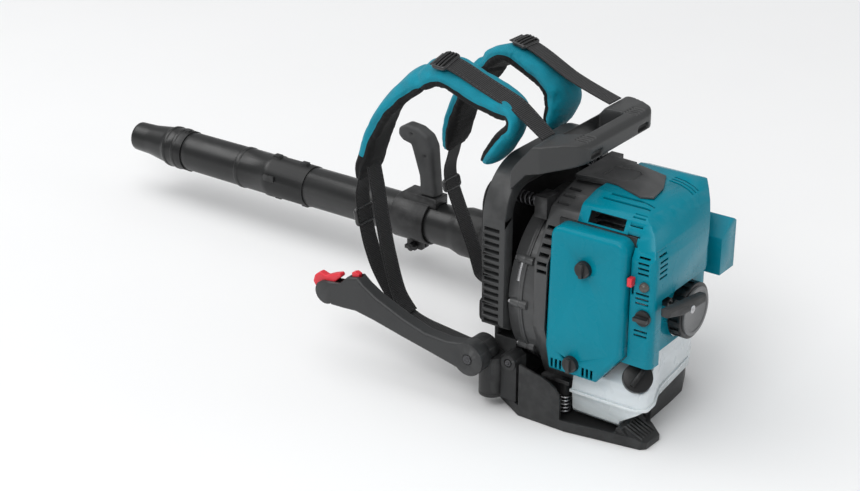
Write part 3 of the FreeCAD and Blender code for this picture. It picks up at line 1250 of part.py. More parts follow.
for item in doc.Objects:
    if any(state in ("Invalid", "Error") for state in item.State):
        raise RuntimeError(f"{item.Name} ({item.Label}) did not build")
for node, item in nodes.items():
    if item.Shape.isNull() or not item.Shape.isValid() or item.Shape.Volume <= 0:
        raise RuntimeError(f"{node} is not a valid solid")

os.makedirs("parts", exist_ok=True)
for node, item in nodes.items():
    item.Shape.exportStep(f"parts/{node}.step")
print(len(nodes), "sub-parts written")
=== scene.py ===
import math

import bmesh
import bpy
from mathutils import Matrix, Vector, noise


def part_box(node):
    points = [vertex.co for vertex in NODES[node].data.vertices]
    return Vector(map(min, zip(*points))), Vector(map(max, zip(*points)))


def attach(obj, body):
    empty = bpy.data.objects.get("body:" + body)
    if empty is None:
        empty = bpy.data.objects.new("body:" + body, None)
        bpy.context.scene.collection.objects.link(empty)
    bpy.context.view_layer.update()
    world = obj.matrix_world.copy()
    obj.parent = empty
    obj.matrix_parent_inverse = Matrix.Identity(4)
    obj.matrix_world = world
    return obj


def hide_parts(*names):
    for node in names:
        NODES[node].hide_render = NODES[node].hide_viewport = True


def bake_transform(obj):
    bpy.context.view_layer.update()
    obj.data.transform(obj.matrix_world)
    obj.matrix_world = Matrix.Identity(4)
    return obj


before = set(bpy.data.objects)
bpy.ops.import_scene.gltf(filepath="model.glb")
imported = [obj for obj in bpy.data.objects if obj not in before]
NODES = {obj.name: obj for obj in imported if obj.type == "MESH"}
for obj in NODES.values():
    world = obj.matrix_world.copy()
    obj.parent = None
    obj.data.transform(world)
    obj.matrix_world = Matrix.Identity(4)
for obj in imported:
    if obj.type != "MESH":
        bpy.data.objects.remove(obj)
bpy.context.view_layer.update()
MM_PER_M = 1000


# ---------------------------------------------------------------- shader helpers

class Shader:
    """A material built up from nodes, with the helpers that the materials share."""

    def __init__(self, name, colour, roughness, metallic=0.0, specular=0.5):
        self.material = bpy.data.materials.new(name)
        self.material.use_nodes = True
        self.material.diffuse_color = (*colour, 1)
        self.tree = self.material.node_tree
        self.bsdf = self.tree.nodes["Principled BSDF"]
        self.bsdf.inputs["Base Color"].default_value = (*colour, 1)
        self.bsdf.inputs["Roughness"].default_value = roughness
        self.bsdf.inputs["Metallic"].default_value = metallic
        self.bsdf.inputs["Specular IOR Level"].default_value = specular
        self.place = self.node("ShaderNodeTexCoord").outputs["Object"]

    def node(self, kind, **sizes):
        """A new node, with its settings."""
        item = self.tree.nodes.new(kind)
        for key, size in sizes.items():
            setattr(item, key, size)
        return item

    def link(self, source, target):
        self.tree.links.new(source, target)

    def stretched(self, scale):
        """The object's coordinates, scaled by axis."""
        mapping = self.node("ShaderNodeMapping")
        mapping.inputs["Scale"].default_value = scale
        self.link(self.place, mapping.inputs["Vector"])
        return mapping.outputs["Vector"]

    def noise(self, scale, detail=3.0, source=None, distortion=0.0):
        item = self.node("ShaderNodeTexNoise")
        item.inputs["Scale"].default_value = scale
        item.inputs["Detail"].default_value = detail
        item.inputs["Distortion"].default_value = distortion
        self.link(source or self.place, item.inputs["Vector"])
        return item.outputs["Fac"]

    def voronoi(self, scale):
        item = self.node("ShaderNodeTexVoronoi", feature="F1")
        item.inputs["Scale"].default_value = scale
        self.link(self.place, item.inputs["Vector"])
        return item.outputs["Distance"]

    def wave(self, scale, direction="X", source=None, distortion=0.0):
        item = self.node("ShaderNodeTexWave", wave_type="BANDS", bands_direction=direction,
                         wave_profile="SIN")
        item.inputs["Scale"].default_value = scale
        item.inputs["Distortion"].default_value = distortion
        self.link(source or self.place, item.inputs["Vector"])
        return item.outputs["Fac"]

    def ramp(self, source, low, high, first=0.0, last=1.0):
        """A value from first to last as the source goes from low to high."""
        item = self.node("ShaderNodeMapRange")
        item.inputs["From Min"].default_value = low
        item.inputs["From Max"].default_value = high
        item.inputs["To Min"].default_value = first
        item.inputs["To Max"].default_value = last
        self.link(source, item.inputs["Value"])
        return item.outputs["Result"]

    def sums(self, first, second, operation="ADD"):
        item = self.node("ShaderNodeMath", operation=operation)
        for socket, source in zip(item.inputs, (first, second)):
            if isinstance(source, (int, float)):
                socket.default_value = source
            else:
                self.link(source, socket)
        return item.outputs["Value"]

    def mix(self, amount, first, second):
        item = self.node("ShaderNodeMix", data_type="RGBA")
        self.link(amount, item.inputs["Factor"])
        for key, source in (("A", first), ("B", second)):
            socket = [i for i in item.inputs if i.identifier == f"{key}_Color"][0]
            if isinstance(source, tuple):
                socket.default_value = (*source, 1)
            else:
                self.link(source, socket)
        return [o for o in item.outputs if o.identifier == "Result_Color"][0]

    def edge(self, low=0.52, high=0.62):
        """How much a place is a worn, outward edge."""
        shape = self.node("ShaderNodeNewGeometry").outputs["Pointiness"]
        rub = self.noise(55, 5)
        return self.sums(self.ramp(shape, low, high), self.ramp(rub, 0.42, 0.62), "MULTIPLY")

    def bump(self, height, distance, strength=1.0, normal=None):
        item = self.node("ShaderNodeBump")
        item.inputs["Strength"].default_value = strength
        item.inputs["Distance"].default_value = distance
        self.link(height, item.inputs["Height"])
        if normal is not None:
            self.link(normal, item.inputs["Normal"])
        return item.outputs["Normal"]

    def set(self, socket, source):
        if isinstance(source, (int, float, tuple)):
            self.bsdf.inputs[socket].default_value = source
        else:
            self.link(source, self.bsdf.inputs[socket])


def scaled(colour, factor):
    """A lighter or darker shade of a colour."""
    return tuple(min(1.0, c * factor) for c in colour)


def moulded(name, colour, roughness=0.45, grain=1400, depth=0.00008, wear=0.3, coat=0.0,
            dust=0.03, specular=0.4):
    """Injection-moulded plastic: fine grain, slow colour drift, rubbed edges and a little dust."""
    s = Shader(name, colour, roughness, specular=specular)
    drift = s.ramp(s.noise(7, 2), 0.3, 0.7)
    base = s.mix(drift, scaled(colour, 0.93), scaled(colour, 1.07))
    pale = tuple(c + (0.5 - c) * dust for c in colour)
    base = s.mix(s.ramp(s.noise(70, 8, distortion=0.3), 0.58, 0.8), base, pale)
    rubbed = tuple(c + (0.5 - c) * wear * 0.3 for c in colour)
    base = s.mix(s.edge(), base, rubbed)
    s.set("Base Color", base)
    smear = s.ramp(s.noise(20, 4, distortion=0.6), 0.25, 0.75, roughness - 0.04, roughness + 0.06)
    s.set("Roughness", smear)
    fine = s.bump(s.noise(grain, 2), depth)
    s.set("Normal", s.bump(s.noise(90, 2), depth * 2, 0.3, fine))
    if coat:
        s.bsdf.inputs["Coat Weight"].default_value = coat
        s.bsdf.inputs["Coat Roughness"].default_value = 0.12
    return s.material


def rubbery(name, colour, roughness=0.7):
    """Matt rubber with a pale bloom and a fine grain."""
    s = Shader(name, colour, roughness, specular=0.35)
    bloom = s.ramp(s.noise(22, 6), 0.35, 0.75)
    s.set("Base Color", s.mix(bloom, scaled(colour, 0.8), tuple(c + 0.022 for c in colour)))
    s.set("Roughness", s.ramp(s.noise(35, 4), 0.3, 0.7, roughness - 0.12, roughness + 0.1))
    s.set("Normal", s.bump(s.noise(700, 3), 0.00015))
    return s.material


def metal(name, colour, roughness=0.32, along=(1, 1, 30), cast=0.0):
    """Machined or cast metal, with fine scratches along one direction."""
    s = Shader(name, colour, roughness, metallic=1.0)
    scratch = s.noise(60, 6, s.stretched(along))
    s.set("Base Color", s.mix(s.ramp(scratch, 0.3, 0.7), scaled(colour, 0.82), scaled(colour, 1.1)))
    s.set("Roughness", s.ramp(scratch, 0.2, 0.8, roughness - 0.08, roughness + 0.16))
    height = s.noise(900, 3) if cast else scratch
    s.set("Normal", s.bump(height, 0.0001 + cast * 0.0003))
    return s.material


def cloth(name, colour, scale=1500, sheen=0.3, roughness=0.75, wrinkle=0.0012, mesh=False):
    """Woven nylon or padded mesh: two crossing thread directions, creases with painted shade in
    their hollows and painted light on their crests, and sheen.
    """
    s = Shader(name, colour, roughness, specular=0.25)
    warp = s.wave(scale, "X")
    weft = s.wave(scale, "Z")
    weave = s.sums(warp, weft, "MULTIPLY")
    if mesh:
        weave = s.sums(weave, s.ramp(s.voronoi(420), 0.1, 0.5), "MULTIPLY")
    fold = s.noise(26, 5, distortion=1.4)
    # colour from the weave is the cloth's pattern; colour from the crease noise, the same noise
    # that bumps the creases, is painted shade in their hollows and painted light on their crests
    shade = s.sums(s.ramp(weave, 0, 1, 0, 0.5), s.ramp(fold, 0.3, 0.7, 0, 0.5))
    s.set("Base Color", s.mix(shade, scaled(colour, 0.72), scaled(colour, 1.14)))
    s.set("Roughness", s.ramp(fold, 0.25, 0.75, roughness - 0.1, roughness + 0.1))
    fine = s.bump(weave, 0.00018, 0.8)
    s.set("Normal", s.bump(fold, wrinkle, 0.7, fine))
    s.bsdf.inputs["Sheen Weight"].default_value = sheen
    s.bsdf.inputs["Sheen Roughness"].default_value = 0.4
    return s.material


def belt(name, colour):
    """Polyester webbing: ribs across it, a herringbone along it and two rows of stitching."""
    s = Shader(name, colour, 0.66, specular=0.3)
    uv = s.node("ShaderNodeTexCoord").outputs["UV"]
    rib = s.wave(105, "Y", uv)
    cross = s.wave(130, "X", uv, distortion=0.4)
    weave = s.sums(rib, s.ramp(cross, 0, 1, 0.35, 1.0), "MULTIPLY")
    parts = s.node("ShaderNodeSeparateXYZ")
    s.link(uv, parts.inputs["Vector"])
    side = s.sums(s.sums(parts.outputs["X"], 0.0, "ABSOLUTE"), 0.0152, "SUBTRACT")
    row = s.ramp(s.sums(side, 0.0, "ABSOLUTE"), 0.0007, 0.0004)
    dash = s.ramp(s.wave(45, "Y", uv), 0.45, 0.6)
    stitch = s.sums(row, dash, "MULTIPLY")
    fuzz = s.noise(260, 4)
    shade = s.sums(s.ramp(weave, 0, 1, 0, 0.75), s.ramp(fuzz, 0.4, 0.7, 0, 0.25))
    cover = s.mix(shade, scaled(colour, 0.45), tuple(c * 1.7 + 0.012 for c in colour))
    s.set("Base Color", s.mix(stitch, cover, (0.07, 0.07, 0.072)))
    high = s.sums(weave, s.sums(stitch, 1.5, "MULTIPLY"))
    s.set("Normal", s.bump(high, 0.0007, 1.0, s.bump(fuzz, 0.0002, 0.5)))
    s.bsdf.inputs["Sheen Weight"].default_value = 0.12
    return s.material


def translucent(name, colour):
    """Milky blow-moulded tank wall with flow marks, darker towards the bottom."""
    s = Shader(name, colour, 0.3, specular=0.5)
    flow = s.noise(12, 5, s.stretched((1, 1, 3)), distortion=0.8)
    tint = s.mix(s.ramp(flow, 0.3, 0.7), scaled(colour, 0.9), scaled(colour, 1.04))
    height = s.node("ShaderNodeSeparateXYZ")
    s.link(s.place, height.inputs["Vector"])
    # below 0.10 m the wall's colour goes darker towards the bottom
    low = s.ramp(height.outputs["Z"], 0.10, 0.02)
    bottom_tone = s.mix(s.ramp(flow, 0.3, 0.7), (0.60, 0.66, 0.67), (0.68, 0.73, 0.74))
    s.set("Base Color", s.mix(low, tint, bottom_tone))
    s.set("Roughness", s.ramp(s.noise(40, 5), 0.3, 0.7, 0.22, 0.42))
    s.set("Normal", s.bump(s.noise(500, 3), 0.00008, 1.0, s.bump(flow, 0.0008, 0.5)))
    s.bsdf.inputs["Subsurface Weight"].default_value = 0.35
    s.bsdf.inputs["Subsurface Radius"].default_value = (0.02, 0.022, 0.024)
    s.bsdf.inputs["Subsurface Scale"].default_value = 0.5
    s.bsdf.inputs["Coat Weight"].default_value = 0.15
    return s.material


MATERIALS = {
    "frame": moulded("frame_plastic", (0.037, 0.038, 0.0385), 0.4, depth=0.0001, dust=0.012),
    "black": moulded("black_plastic", (0.013, 0.013, 0.0135), 0.38),
    "base": moulded("base_plastic", (0.018, 0.0185, 0.019), 0.46, depth=0.00012, wear=0.35,
                    dust=0.014),
    "arm": moulded("arm_plastic", (0.030, 0.031, 0.032), 0.42, depth=0.0001, wear=0.35,
                   dust=0.014),
    "buckle": moulded("buckle_plastic", (0.022, 0.022, 0.023), 0.2, wear=0.2, dust=0.0,
                      specular=0.6),
    "dark_steel": metal("darker_steel", (0.10, 0.10, 0.105), 0.34),
    "housing": moulded("housing_plastic", (0.058, 0.059, 0.060), 0.32, dust=0.012),
    "pipe": moulded("pipe_plastic", (0.0115, 0.0118, 0.012), 0.32, depth=0.00005, dust=0.01),
    "teal": moulded("teal_cover", (0.0, 0.215, 0.295), 0.26, grain=900, depth=0.00002, wear=0.1,
                    coat=0.05, dust=0.0, specular=0.13),
    "red": moulded("red_lever", (0.72, 0.028, 0.045), 0.35, wear=0.1, coat=0.15, dust=0.0),
    "grip": rubbery("grip_rubber", (0.038, 0.039, 0.040), 0.55),
    "rubber": rubbery("duct_rubber", (0.012, 0.012, 0.0125)),
    "tank": translucent("tank_wall", (0.74, 0.79, 0.82)),
    "cast": metal("cast_aluminium", (0.58, 0.59, 0.6), 0.45, cast=1.0),
    "steel": metal("spring_steel", (0.55, 0.55, 0.56), 0.28),
    "grey": moulded("disc_plastic", (0.13, 0.132, 0.135), 0.32, wear=0.1, coat=0.1, dust=0.0),
    "filter": cloth("filter_paper", (0.42, 0.38, 0.3), 500, 0.1),
    "bulb": rubbery("bulb_rubber", (0.10, 0.09, 0.08), 0.25),
    "pad_teal": cloth("pad_cover", (0.0, 0.275, 0.38), 1500, 0.02, 0.5),
    "pad_black": cloth("pad_lining", (0.010, 0.010, 0.0105), 1000, 0.06, 0.85, mesh=True),
    "webbing": belt("webbing", (0.014, 0.014, 0.015)),
}

LOOK = {
    "back_frame": "frame", "carry_handle": "frame", "frame_base": "base",
    "outlet_elbow": "housing", "duct_collar": "black", "swivel_pipe": "pipe",
    "straight_pipe": "pipe", "nozzle": "pipe", "grip_clamp": "black", "hand_grip": "grip",
    "clamp_knob": "black", "volute_front": "housing", "volute_rear": "housing",
    "volute_screws": "steel", "intake_guard": "black", "impeller": "cast",
    "fan_shroud": "housing", "top_plate": "housing", "engine_cover": "teal",
    "exhaust_guard": "teal", "air_cleaner_cover": "teal", "upper_knob": "black",
    "lower_knob": "black", "air_cleaner_base": "black", "crankcase": "cast",
    "cylinder": "cast", "piston": "cast", "ignition": "steel", "crankshaft": "steel",
    "flywheel": "cast", "carburetor": "cast", "muffler": "steel", "air_filter": "filter",
    "starter_housing": "black", "starter_disc": "grey", "starter_reel": "black",
    "starter_handle": "grip", "primer_bulb": "bulb", "oil_cap": "black", "choke_lever": "red",
    "fuel_tank": "tank", "fuel_cap": "black", "engine_mount": "black",
    "mount_springs": "steel", "arm_bracket": "base", "arm_post": "base",
    "control_arm": "arm", "throttle_lever": "red", "stop_switch": "red",
}
# widths of the bevels on the nodes' edges, where they aren't the usual 0.6 mm
USUAL_BEVEL = 0.0006
ROUNDING = {
    "back_frame": 0.0035, "frame_base": 0.003, "volute_front": 0.0022,
    "volute_rear": 0.002, "fan_shroud": 0.002, "engine_cover": 0.0012, "exhaust_guard": 0.0015,
    "top_plate": 0.0012, "fuel_tank": 0.003, "arm_bracket": 0.004, "arm_post": 0.002,
    "control_arm": 0.002, "starter_handle": 0.002,
    "fuel_cap": 0.0015, "grip_clamp": 0.0015, "oil_cap": 0.001,
}
# voxel size and passes of smoothing for the mouldings that are rounded all over
MELTED = {
    "carry_handle": (0.0017, 16), "hand_grip": (0.0013, 40), "throttle_lever": (0.0011, 30),
    "stop_switch": (0.0008, 20),
}


def finish_node(name, look):
    """Material and softened edges for a node that keeps its own shape."""
    item = NODES[name]
    item.data.materials.clear()
    item.data.materials.append(MATERIALS[look])
    for face in item.data.polygons:
        face.use_smooth = True
    if name in MELTED:
        size, passes = MELTED[name]
        melt = item.modifiers.new("voxels", "REMESH")
        melt.mode = "VOXEL"
        melt.voxel_size = size
        melt.use_smooth_shade = True
        even = item.modifiers.new("smooth", "SMOOTH")
        even.factor = 0.5
        even.iterations = passes
        return
    weld = item.modifiers.new("weld", "WELD")
    weld.merge_threshold = 0.00002
    soft = item.modifiers.new("edges", "BEVEL")
    soft.width = ROUNDING.get(name, USUAL_BEVEL)
    soft.segments = 2
    soft.limit_method = "ANGLE"
    soft.angle_limit = math.radians(32)
    soft.harden_normals = True
    soft.use_clamp_overlap = True


for name, look in LOOK.items():
    finish_node(name, look)

# the two upper springs are darker steel, the two lower ones bright
UPPER_SPRINGS = 0.3
springs = NODES["mount_springs"]
springs.data.materials.append(MATERIALS["dark_steel"])
for face in springs.data.polygons:
    if (springs.matrix_world @ face.center).z > UPPER_SPRINGS:
        face.material_index = 1


# ---------------------------------------------------------------- mesh helpers

def add_mesh(name, points, faces, material, smooth=True):
    """A new object in the scene with one material, or several in a list."""
    mesh = bpy.data.meshes.new(name)
    mesh.from_pydata([tuple(p) for p in points], [], faces)
    mesh.validate()
    item = bpy.data.objects.new(name, mesh)
    bpy.context.scene.collection.objects.link(item)
    for entry in material if isinstance(material, (list, tuple)) else [material]:
        mesh.materials.append(MATERIALS[entry])
    for face in mesh.polygons:
        face.use_smooth = smooth
    return item


def tube_faces(rows, around, joined=False, flipped=False):
    """Quads between the rings of a tube, and its two end caps unless it joins up with itself."""
    faces = []
    for row in range(rows if joined else rows - 1):
        low, high = row * around, (row + 1) % rows * around
        for i in range(around):
            j = (i + 1) % around
            faces.append((low + i, low + j, high + j, high + i))
    if not joined:
        first = tuple(range(around))
        last = tuple((rows - 1) * around + i for i in range(around))
        faces += [first, last[::-1]] if flipped else [first[::-1], last]
    return faces


def applied(item):
    """Bake the item's modifiers into its mesh."""
    graph = bpy.context.evaluated_depsgraph_get()
    mesh = bpy.data.meshes.new_from_object(item.evaluated_get(graph))
    item.modifiers.clear()
    old = item.data
    item.data = mesh
    bpy.data.meshes.remove(old)
    return item


def smooth_line(points, step):
    """A rounded path through rough points: the points of a spline, evenly spaced."""
    curve = bpy.data.curves.new("route", "CURVE")
    curve.dimensions = "3D"
    curve.resolution_u = 24
    spline = curve.splines.new("NURBS")
    spline.points.add(len(points) - 1)
    for knot, place in zip(spline.points, points):
        knot.co = (*place, 1)
    spline.use_endpoint_u = True
    spline.order_u = 3
    holder = bpy.data.objects.new("route", curve)
    mesh = bpy.data.meshes.new_from_object(holder)
    dense = [v.co.copy() for v in mesh.vertices]
    bpy.data.objects.remove(holder)
    bpy.data.curves.remove(curve)
    bpy.data.meshes.remove(mesh)
    spaced = [dense[0]]
    left = step
    for near, far in zip(dense, dense[1:]):
        span = (far - near).length
        done = 0.0
        while span - done >= left:
            done += left
            spaced.append(near.lerp(far, done / span))
            left = step
        left -= span - done
    spaced.append(dense[-1])
    return spaced


def frames_along(path, tilt=0.0):
    """For each point of a path: its direction, the strap's width direction and its outer side.

    The width direction is X, raised by tilt at the path's start and level again at its end.
    """
    out = []
    for number, place in enumerate(path):
        left = 1 - number / (len(path) - 1)
        across = Vector((1, 0, tilt * min(1.0, 3 * left)))
        near = path[max(number - 1, 0)]
        far = path[min(number + 1, len(path) - 1)]
        ahead = (far - near).normalized()
        wide = (across - ahead * across.dot(ahead)).normalized()
        out.append((place, ahead, wide, wide.cross(ahead)))
    return out


def strap(name, points, body, ripple=0.0, tilt=0.0, replaces=None):
    """Flat webbing on a smooth path, with thicker woven edges and a UV along its length."""
    step = 0.003
    path = smooth_line(points, step)
    section = [(-0.5, 0.0), (-0.49, 0.42), (-0.44, 0.55), (-0.36, 0.42), (-0.12, 0.46),
               (0.12, 0.46), (0.36, 0.42), (0.44, 0.55), (0.49, 0.42), (0.5, 0.0),
               (0.49, -0.42), (0.44, -0.55), (0.36, -0.42), (0.12, -0.46), (-0.12, -0.46),
               (-0.36, -0.42), (-0.44, -0.55), (-0.49, -0.42)]
    verts, layout = [], []
    rows = frames_along(path, tilt)
    for number, (place, ahead, wide, out) in enumerate(rows):
        lift = ripple * noise.noise(Vector((number * 0.06, steady(name), 0)))
        for x, y in section:
            verts.append(place + wide * (x * STRAP_WIDTH) + out * (y * STRAP_THICKNESS + lift))
            layout.append((x * STRAP_WIDTH, number * step))
    item = add_mesh(name, verts, tube_faces(len(rows), len(section)), "webbing")
    layer = item.data.uv_layers.new(name="along")
    for loop in item.data.loops:
        layer.data[loop.index].uv = layout[loop.vertex_index]
    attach(item, body)
    if replaces:
        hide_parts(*replaces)
    return item


def steady(name):
    """A steady number for a name, so that each strap ripples in its own way."""
    return sum(ord(letter) * (i + 3) for i, letter in enumerate(name)) % 97 * 0.37


def lathe(name, profile, centre, material, segments=96):
    """A turned shape about an axis along Y, from a closed loop of (y, radius) pairs."""
    verts = []
    for along, radius in profile:
        for i in range(segments):
            angle = 2 * math.pi * i / segments
            verts.append((centre[0] + radius * math.cos(angle), along,
                          centre[2] + radius * math.sin(angle)))
    item = add_mesh(name, verts, tube_faces(len(profile), segments, joined=True), material)
    fix_normals(item)
    return item


def fix_normals(item):
    """Turn every face outwards."""
    form = bmesh.new()
    form.from_mesh(item.data)
    bmesh.ops.recalc_face_normals(form, faces=form.faces)
    form.to_mesh(item.data)
    form.free()


# ---------------------------------------------------------------- soft goods

LAST_STEP = 20


def inflate(item, voxel, cap):
    """Blow the closed form up as cloth under pressure, and keep each move under cap."""
    if voxel:
        remesh = item.modifiers.new("voxels", "REMESH")
        remesh.mode = "VOXEL"
        remesh.voxel_size = voxel
        applied(item)
    start = [v.co.copy() for v in item.data.vertices]
    puff = item.modifiers.new("puff", "CLOTH")
    puff.settings.use_pressure = True
    puff.settings.uniform_pressure_force = 4.0
    puff.settings.effector_weights.gravity = 0
    puff.settings.quality = 6
    puff.settings.tension_stiffness = 25
    puff.settings.compression_stiffness = 25
    puff.settings.bending_stiffness = 0.8
    puff.point_cache.frame_start = 1
    puff.point_cache.frame_end = LAST_STEP
    scene = bpy.context.scene
    for number in range(1, LAST_STEP + 1):
        scene.frame_set(number)
    graph = bpy.context.evaluated_depsgraph_get()
    shaped = item.evaluated_get(graph).data
    moved = [v.co.copy() for v in shaped.vertices]
    item.modifiers.clear()
    scene.frame_set(1)
    for vertex, before, after in zip(item.data.vertices, start, moved):
        step = after - before
        if step.length > cap:
            step *= cap / step.length
        vertex.co = before + step
    item.data.update()
    return item


def rounded_slab(across, upright, radius, steps=8):
    """Outline of a rounded rectangle in the X-Z plane, as a list of (x, z)."""
    (x0, x1), (z0, z1) = across, upright
    ring = []
    for cx, cz, start in ((x1 - radius, z1 - radius, 0), (x0 + radius, z1 - radius, 90),
                          (x0 + radius, z0 + radius, 180), (x1 - radius, z0 + radius, 270)):
        for i in range(steps + 1):
            angle = math.radians(start + 90 * i / steps)
            ring.append((cx + radius * math.cos(angle), cz + radius * math.sin(angle)))
    return ring


def flat_pad(name, node, radius, channels, inset=0.008):
    """Cushion on the frame's front, inflated, with its sewn channels pressed in along Z."""
    low, high = (Vector(v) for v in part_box(node))
    ring = rounded_slab((low.x + inset, high.x - inset), (low.z + inset, high.z - inset), radius)
    depth = [(low.y + 0.001, 0.985), (low.y + 0.003, 1.0), (high.y - 0.012, 1.0),
             (high.y - 0.007, 0.97)]
    centre = Vector(((low.x + high.x) / 2, 0, (low.z + high.z) / 2))
    verts = []
    for y, size in depth:
        for x, z in ring:
            verts.append((centre.x + (x - centre.x) * size, y, centre.z + (z - centre.z) * size))
    item = add_mesh(name, verts, tube_faces(len(depth), len(ring), flipped=True), "pad_black")
    fix_normals(item)
    inflate(item, 0.005, 0.009)
    back_share = 0.35
    for vertex in item.data.vertices:
        depth_share = (vertex.co.y - low.y) / (high.y - low.y)
        if depth_share < back_share:
            continue
        dip = max(math.exp(-(((vertex.co.x - x) / 0.0045) ** 2)) for x in channels)
        rim = min(vertex.co.x - low.x, high.x - vertex.co.x, vertex.co.z - low.z,
                  high.z - vertex.co.z)
        dip = max(dip, 0.8 * math.exp(-(((rim - 0.011) / 0.003) ** 2)))
        vertex.co.y -= 0.005 * dip * min(1.0, (depth_share - back_share) * 3)
        vertex.co.y = min(vertex.co.y, high.y + 0.003)
    sub = item.modifiers.new("smooth", "SUBSURF")
    sub.levels = sub.render_levels = 1
    applied(item)
    for face in item.data.polygons:
        face.use_smooth = True
    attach(item, "machine")
    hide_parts(node)
    return item


def line_at(x, places):
    """Points in metres at one x, from (y, z) pairs in millimetres."""
    return [Vector((x, y / MM_PER_M, z / MM_PER_M)) for y, z in places]


SHOULDER_ROWS, APEX_ROW = 150, 84
SHOULDER_THICKNESS = 0.025


def arch_pad(name, node, low_line, high_line, low_x, high_x, tip=0):
    """Shoulder pad: a soft band between two edge lines, teal outside and black inside.

    It is pinched at the apex row, and the last rows, as many as tip says, are black all round.
    """
    low = smooth_line(line_at(low_x, low_line), 0.004)
    high = smooth_line(line_at(high_x, high_line), 0.004)
    count = SHOULDER_ROWS
    low = [low[round(k * (len(low) - 1) / count)] for k in range(count + 1)]
    high = [high[round(k * (len(high) - 1) / count)] for k in range(count + 1)]
    section = []
    for i in range(32):
        angle = 2 * math.pi * i / 32
        c, s = math.cos(angle), math.sin(angle)
        section.append((math.copysign(abs(c) ** 0.5, c), math.copysign(abs(s) ** 0.6, s)))
    rows = []
    for k in range(count + 1):
        near, far = max(k - 2, 0), min(k + 2, count)
        ahead = ((low[far] + high[far]) - (low[near] + high[near])).normalized()
        wide = high[k] - low[k]
        wide = wide - ahead * wide.dot(ahead)
        out = wide.normalized().cross(ahead)
        middle = (low[k] + high[k]) / 2 - out * (SHOULDER_THICKNESS / 2)
        rows.append((middle, wide / 2, out))
    verts = []
    for k, (middle, half, out) in enumerate(rows):
        end = min(1.0, min(k, count - k) / 9)
        narrow = 0.70 + 0.26 * math.sin(math.pi / 2 * end)
        flat = 0.55 + 0.38 * math.sin(math.pi / 2 * end)
        pinch = 0.0035 * math.exp(-(((k - APEX_ROW) / 2.2) ** 2))
        for x, y in section:
            crown = 0.003 * (1 - x * x)
            raised = y * SHOULDER_THICKNESS / 2 * flat + crown
            verts.append(middle + half * (x * narrow) + out * (raised - math.copysign(pinch, y)))
    around = len(section)
    faces = tube_faces(count + 1, around, flipped=True)
    item = add_mesh(name, verts, faces, ["pad_teal", "pad_black"])
    for face in item.data.polygons:
        row, strip = divmod(face.index, around)
        lined = strip >= around // 2 or row >= count - tip
        face.material_index = 1 if lined else 0
    fix_normals(item)
    inflate(item, None, 0.005)
    for number, (middle, half, out) in enumerate(rows):
        side = half.normalized()
        for i in range(around):
            vertex = item.data.vertices[number * around + i]
            x, y = section[i]
            seam = 1.0 if i in (0, around // 2) else 0.0
            shift = Vector((x * 3, number * 0.16, steady(name)))
            fold = noise.noise(shift)
            pucker = noise.noise(shift * 3.1) * (1 if abs(x) > 0.6 else 0.25)
            gather = noise.noise(Vector((number * 0.9, y * 2, steady(name) + 9)))
            vertex.co += out * (0.0016 * fold + 0.0008 * pucker)
            vertex.co -= side * math.copysign(0.0016 * seam, x)
            if abs(x) > 0.6 and y < -0.1:
                vertex.co += side * math.copysign(0.0009 + 0.0016 * gather, x)
    item.data.update()
    sub = item.modifiers.new("smooth", "SUBSURF")
    sub.levels = sub.render_levels = 2
    applied(item)
    for face in item.data.polygons:
        face.use_smooth = True
    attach(item, "machine")
    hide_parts(node)
    return item


flat_pad("back_cushion", "back_pad", 0.04, [-0.045, 0.045])
flat_pad("hip_cushion", "hip_pad", 0.02, [0.0])

LEFT_OUTER = [
    (150, 405), (113, 457), (88, 476), (87, 507), (128, 513), (172, 523), (214, 540),
    (246, 550), (300, 522), (350, 482), (384, 438), (406, 388), (424, 322)]
LEFT_NECK = [
    (150, 405), (122, 445), (106, 478), (105, 508), (136, 531), (180, 546), (220, 560),
    (252, 568), (302, 544), (352, 506), (388, 460), (410, 398), (424, 326)]
RIGHT_NECK = [
    (150, 405), (140, 440), (143, 470), (150, 494), (178, 513), (212, 532), (252, 549),
    (293, 518), (335, 468), (362, 410), (371, 365), (371, 332)]
RIGHT_OUTER = [
    (152, 405), (132, 430), (119, 456), (122, 482), (150, 505), (192, 527), (235, 541),
    (280, 510), (325, 456), (356, 400), (366, 362), (376, 326)]
arch_pad("left_shoulder_cushion", "left_shoulder_pad", LEFT_OUTER, LEFT_NECK, -0.130, -0.054,
         tip=13)
arch_pad("right_shoulder_cushion", "right_shoulder_pad", RIGHT_NECK, RIGHT_OUTER, 0.056, 0.130)


STRAP_WIDTH, STRAP_THICKNESS = 0.038, 0.0018
PAD_SLOPE = 0.23
strap("left_front_strap", line_at(-0.100, [
    (404, 350), (416, 316), (422, 285), (402, 189), (362, 123), (324, 84), (230, 73), (131.8, 62)]),
    "machine", 0.001, replaces=["left_webbing"])
strap("left_rear_strap", line_at(-0.100, [
    (396, 360), (392, 341), (384, 300), (370, 216), (347, 127), (330, 104), (318, 92)]),
    "machine", 0.001)
strap("right_strap", line_at(0.100, [
    (364, 340), (367, 316), (380, 282), (370, 242), (330, 155), (316, 115), (306, 85),
    (210, 72), (131.8, 62)]), "machine", 0.001, replaces=["right_webbing"])
strap("left_lifter", line_at(-0.100, [
    (264, 562.5), (247, 563), (232, 561.5), (215, 557), (195, 549.5), (172, 540.5), (150, 533),
    (112, 520), (97, 513), (48, 477.5)]), "machine", tilt=PAD_SLOPE,
    replaces=["load_lifters"])
strap("right_lifter", line_at(0.100, [
    (244, 549.5), (223, 545.8), (204, 540.5), (180, 530), (160, 519.5), (118, 498.5),
    (46, 478)]), "machine")


# ---------------------------------------------------------------- buckles and small hardware

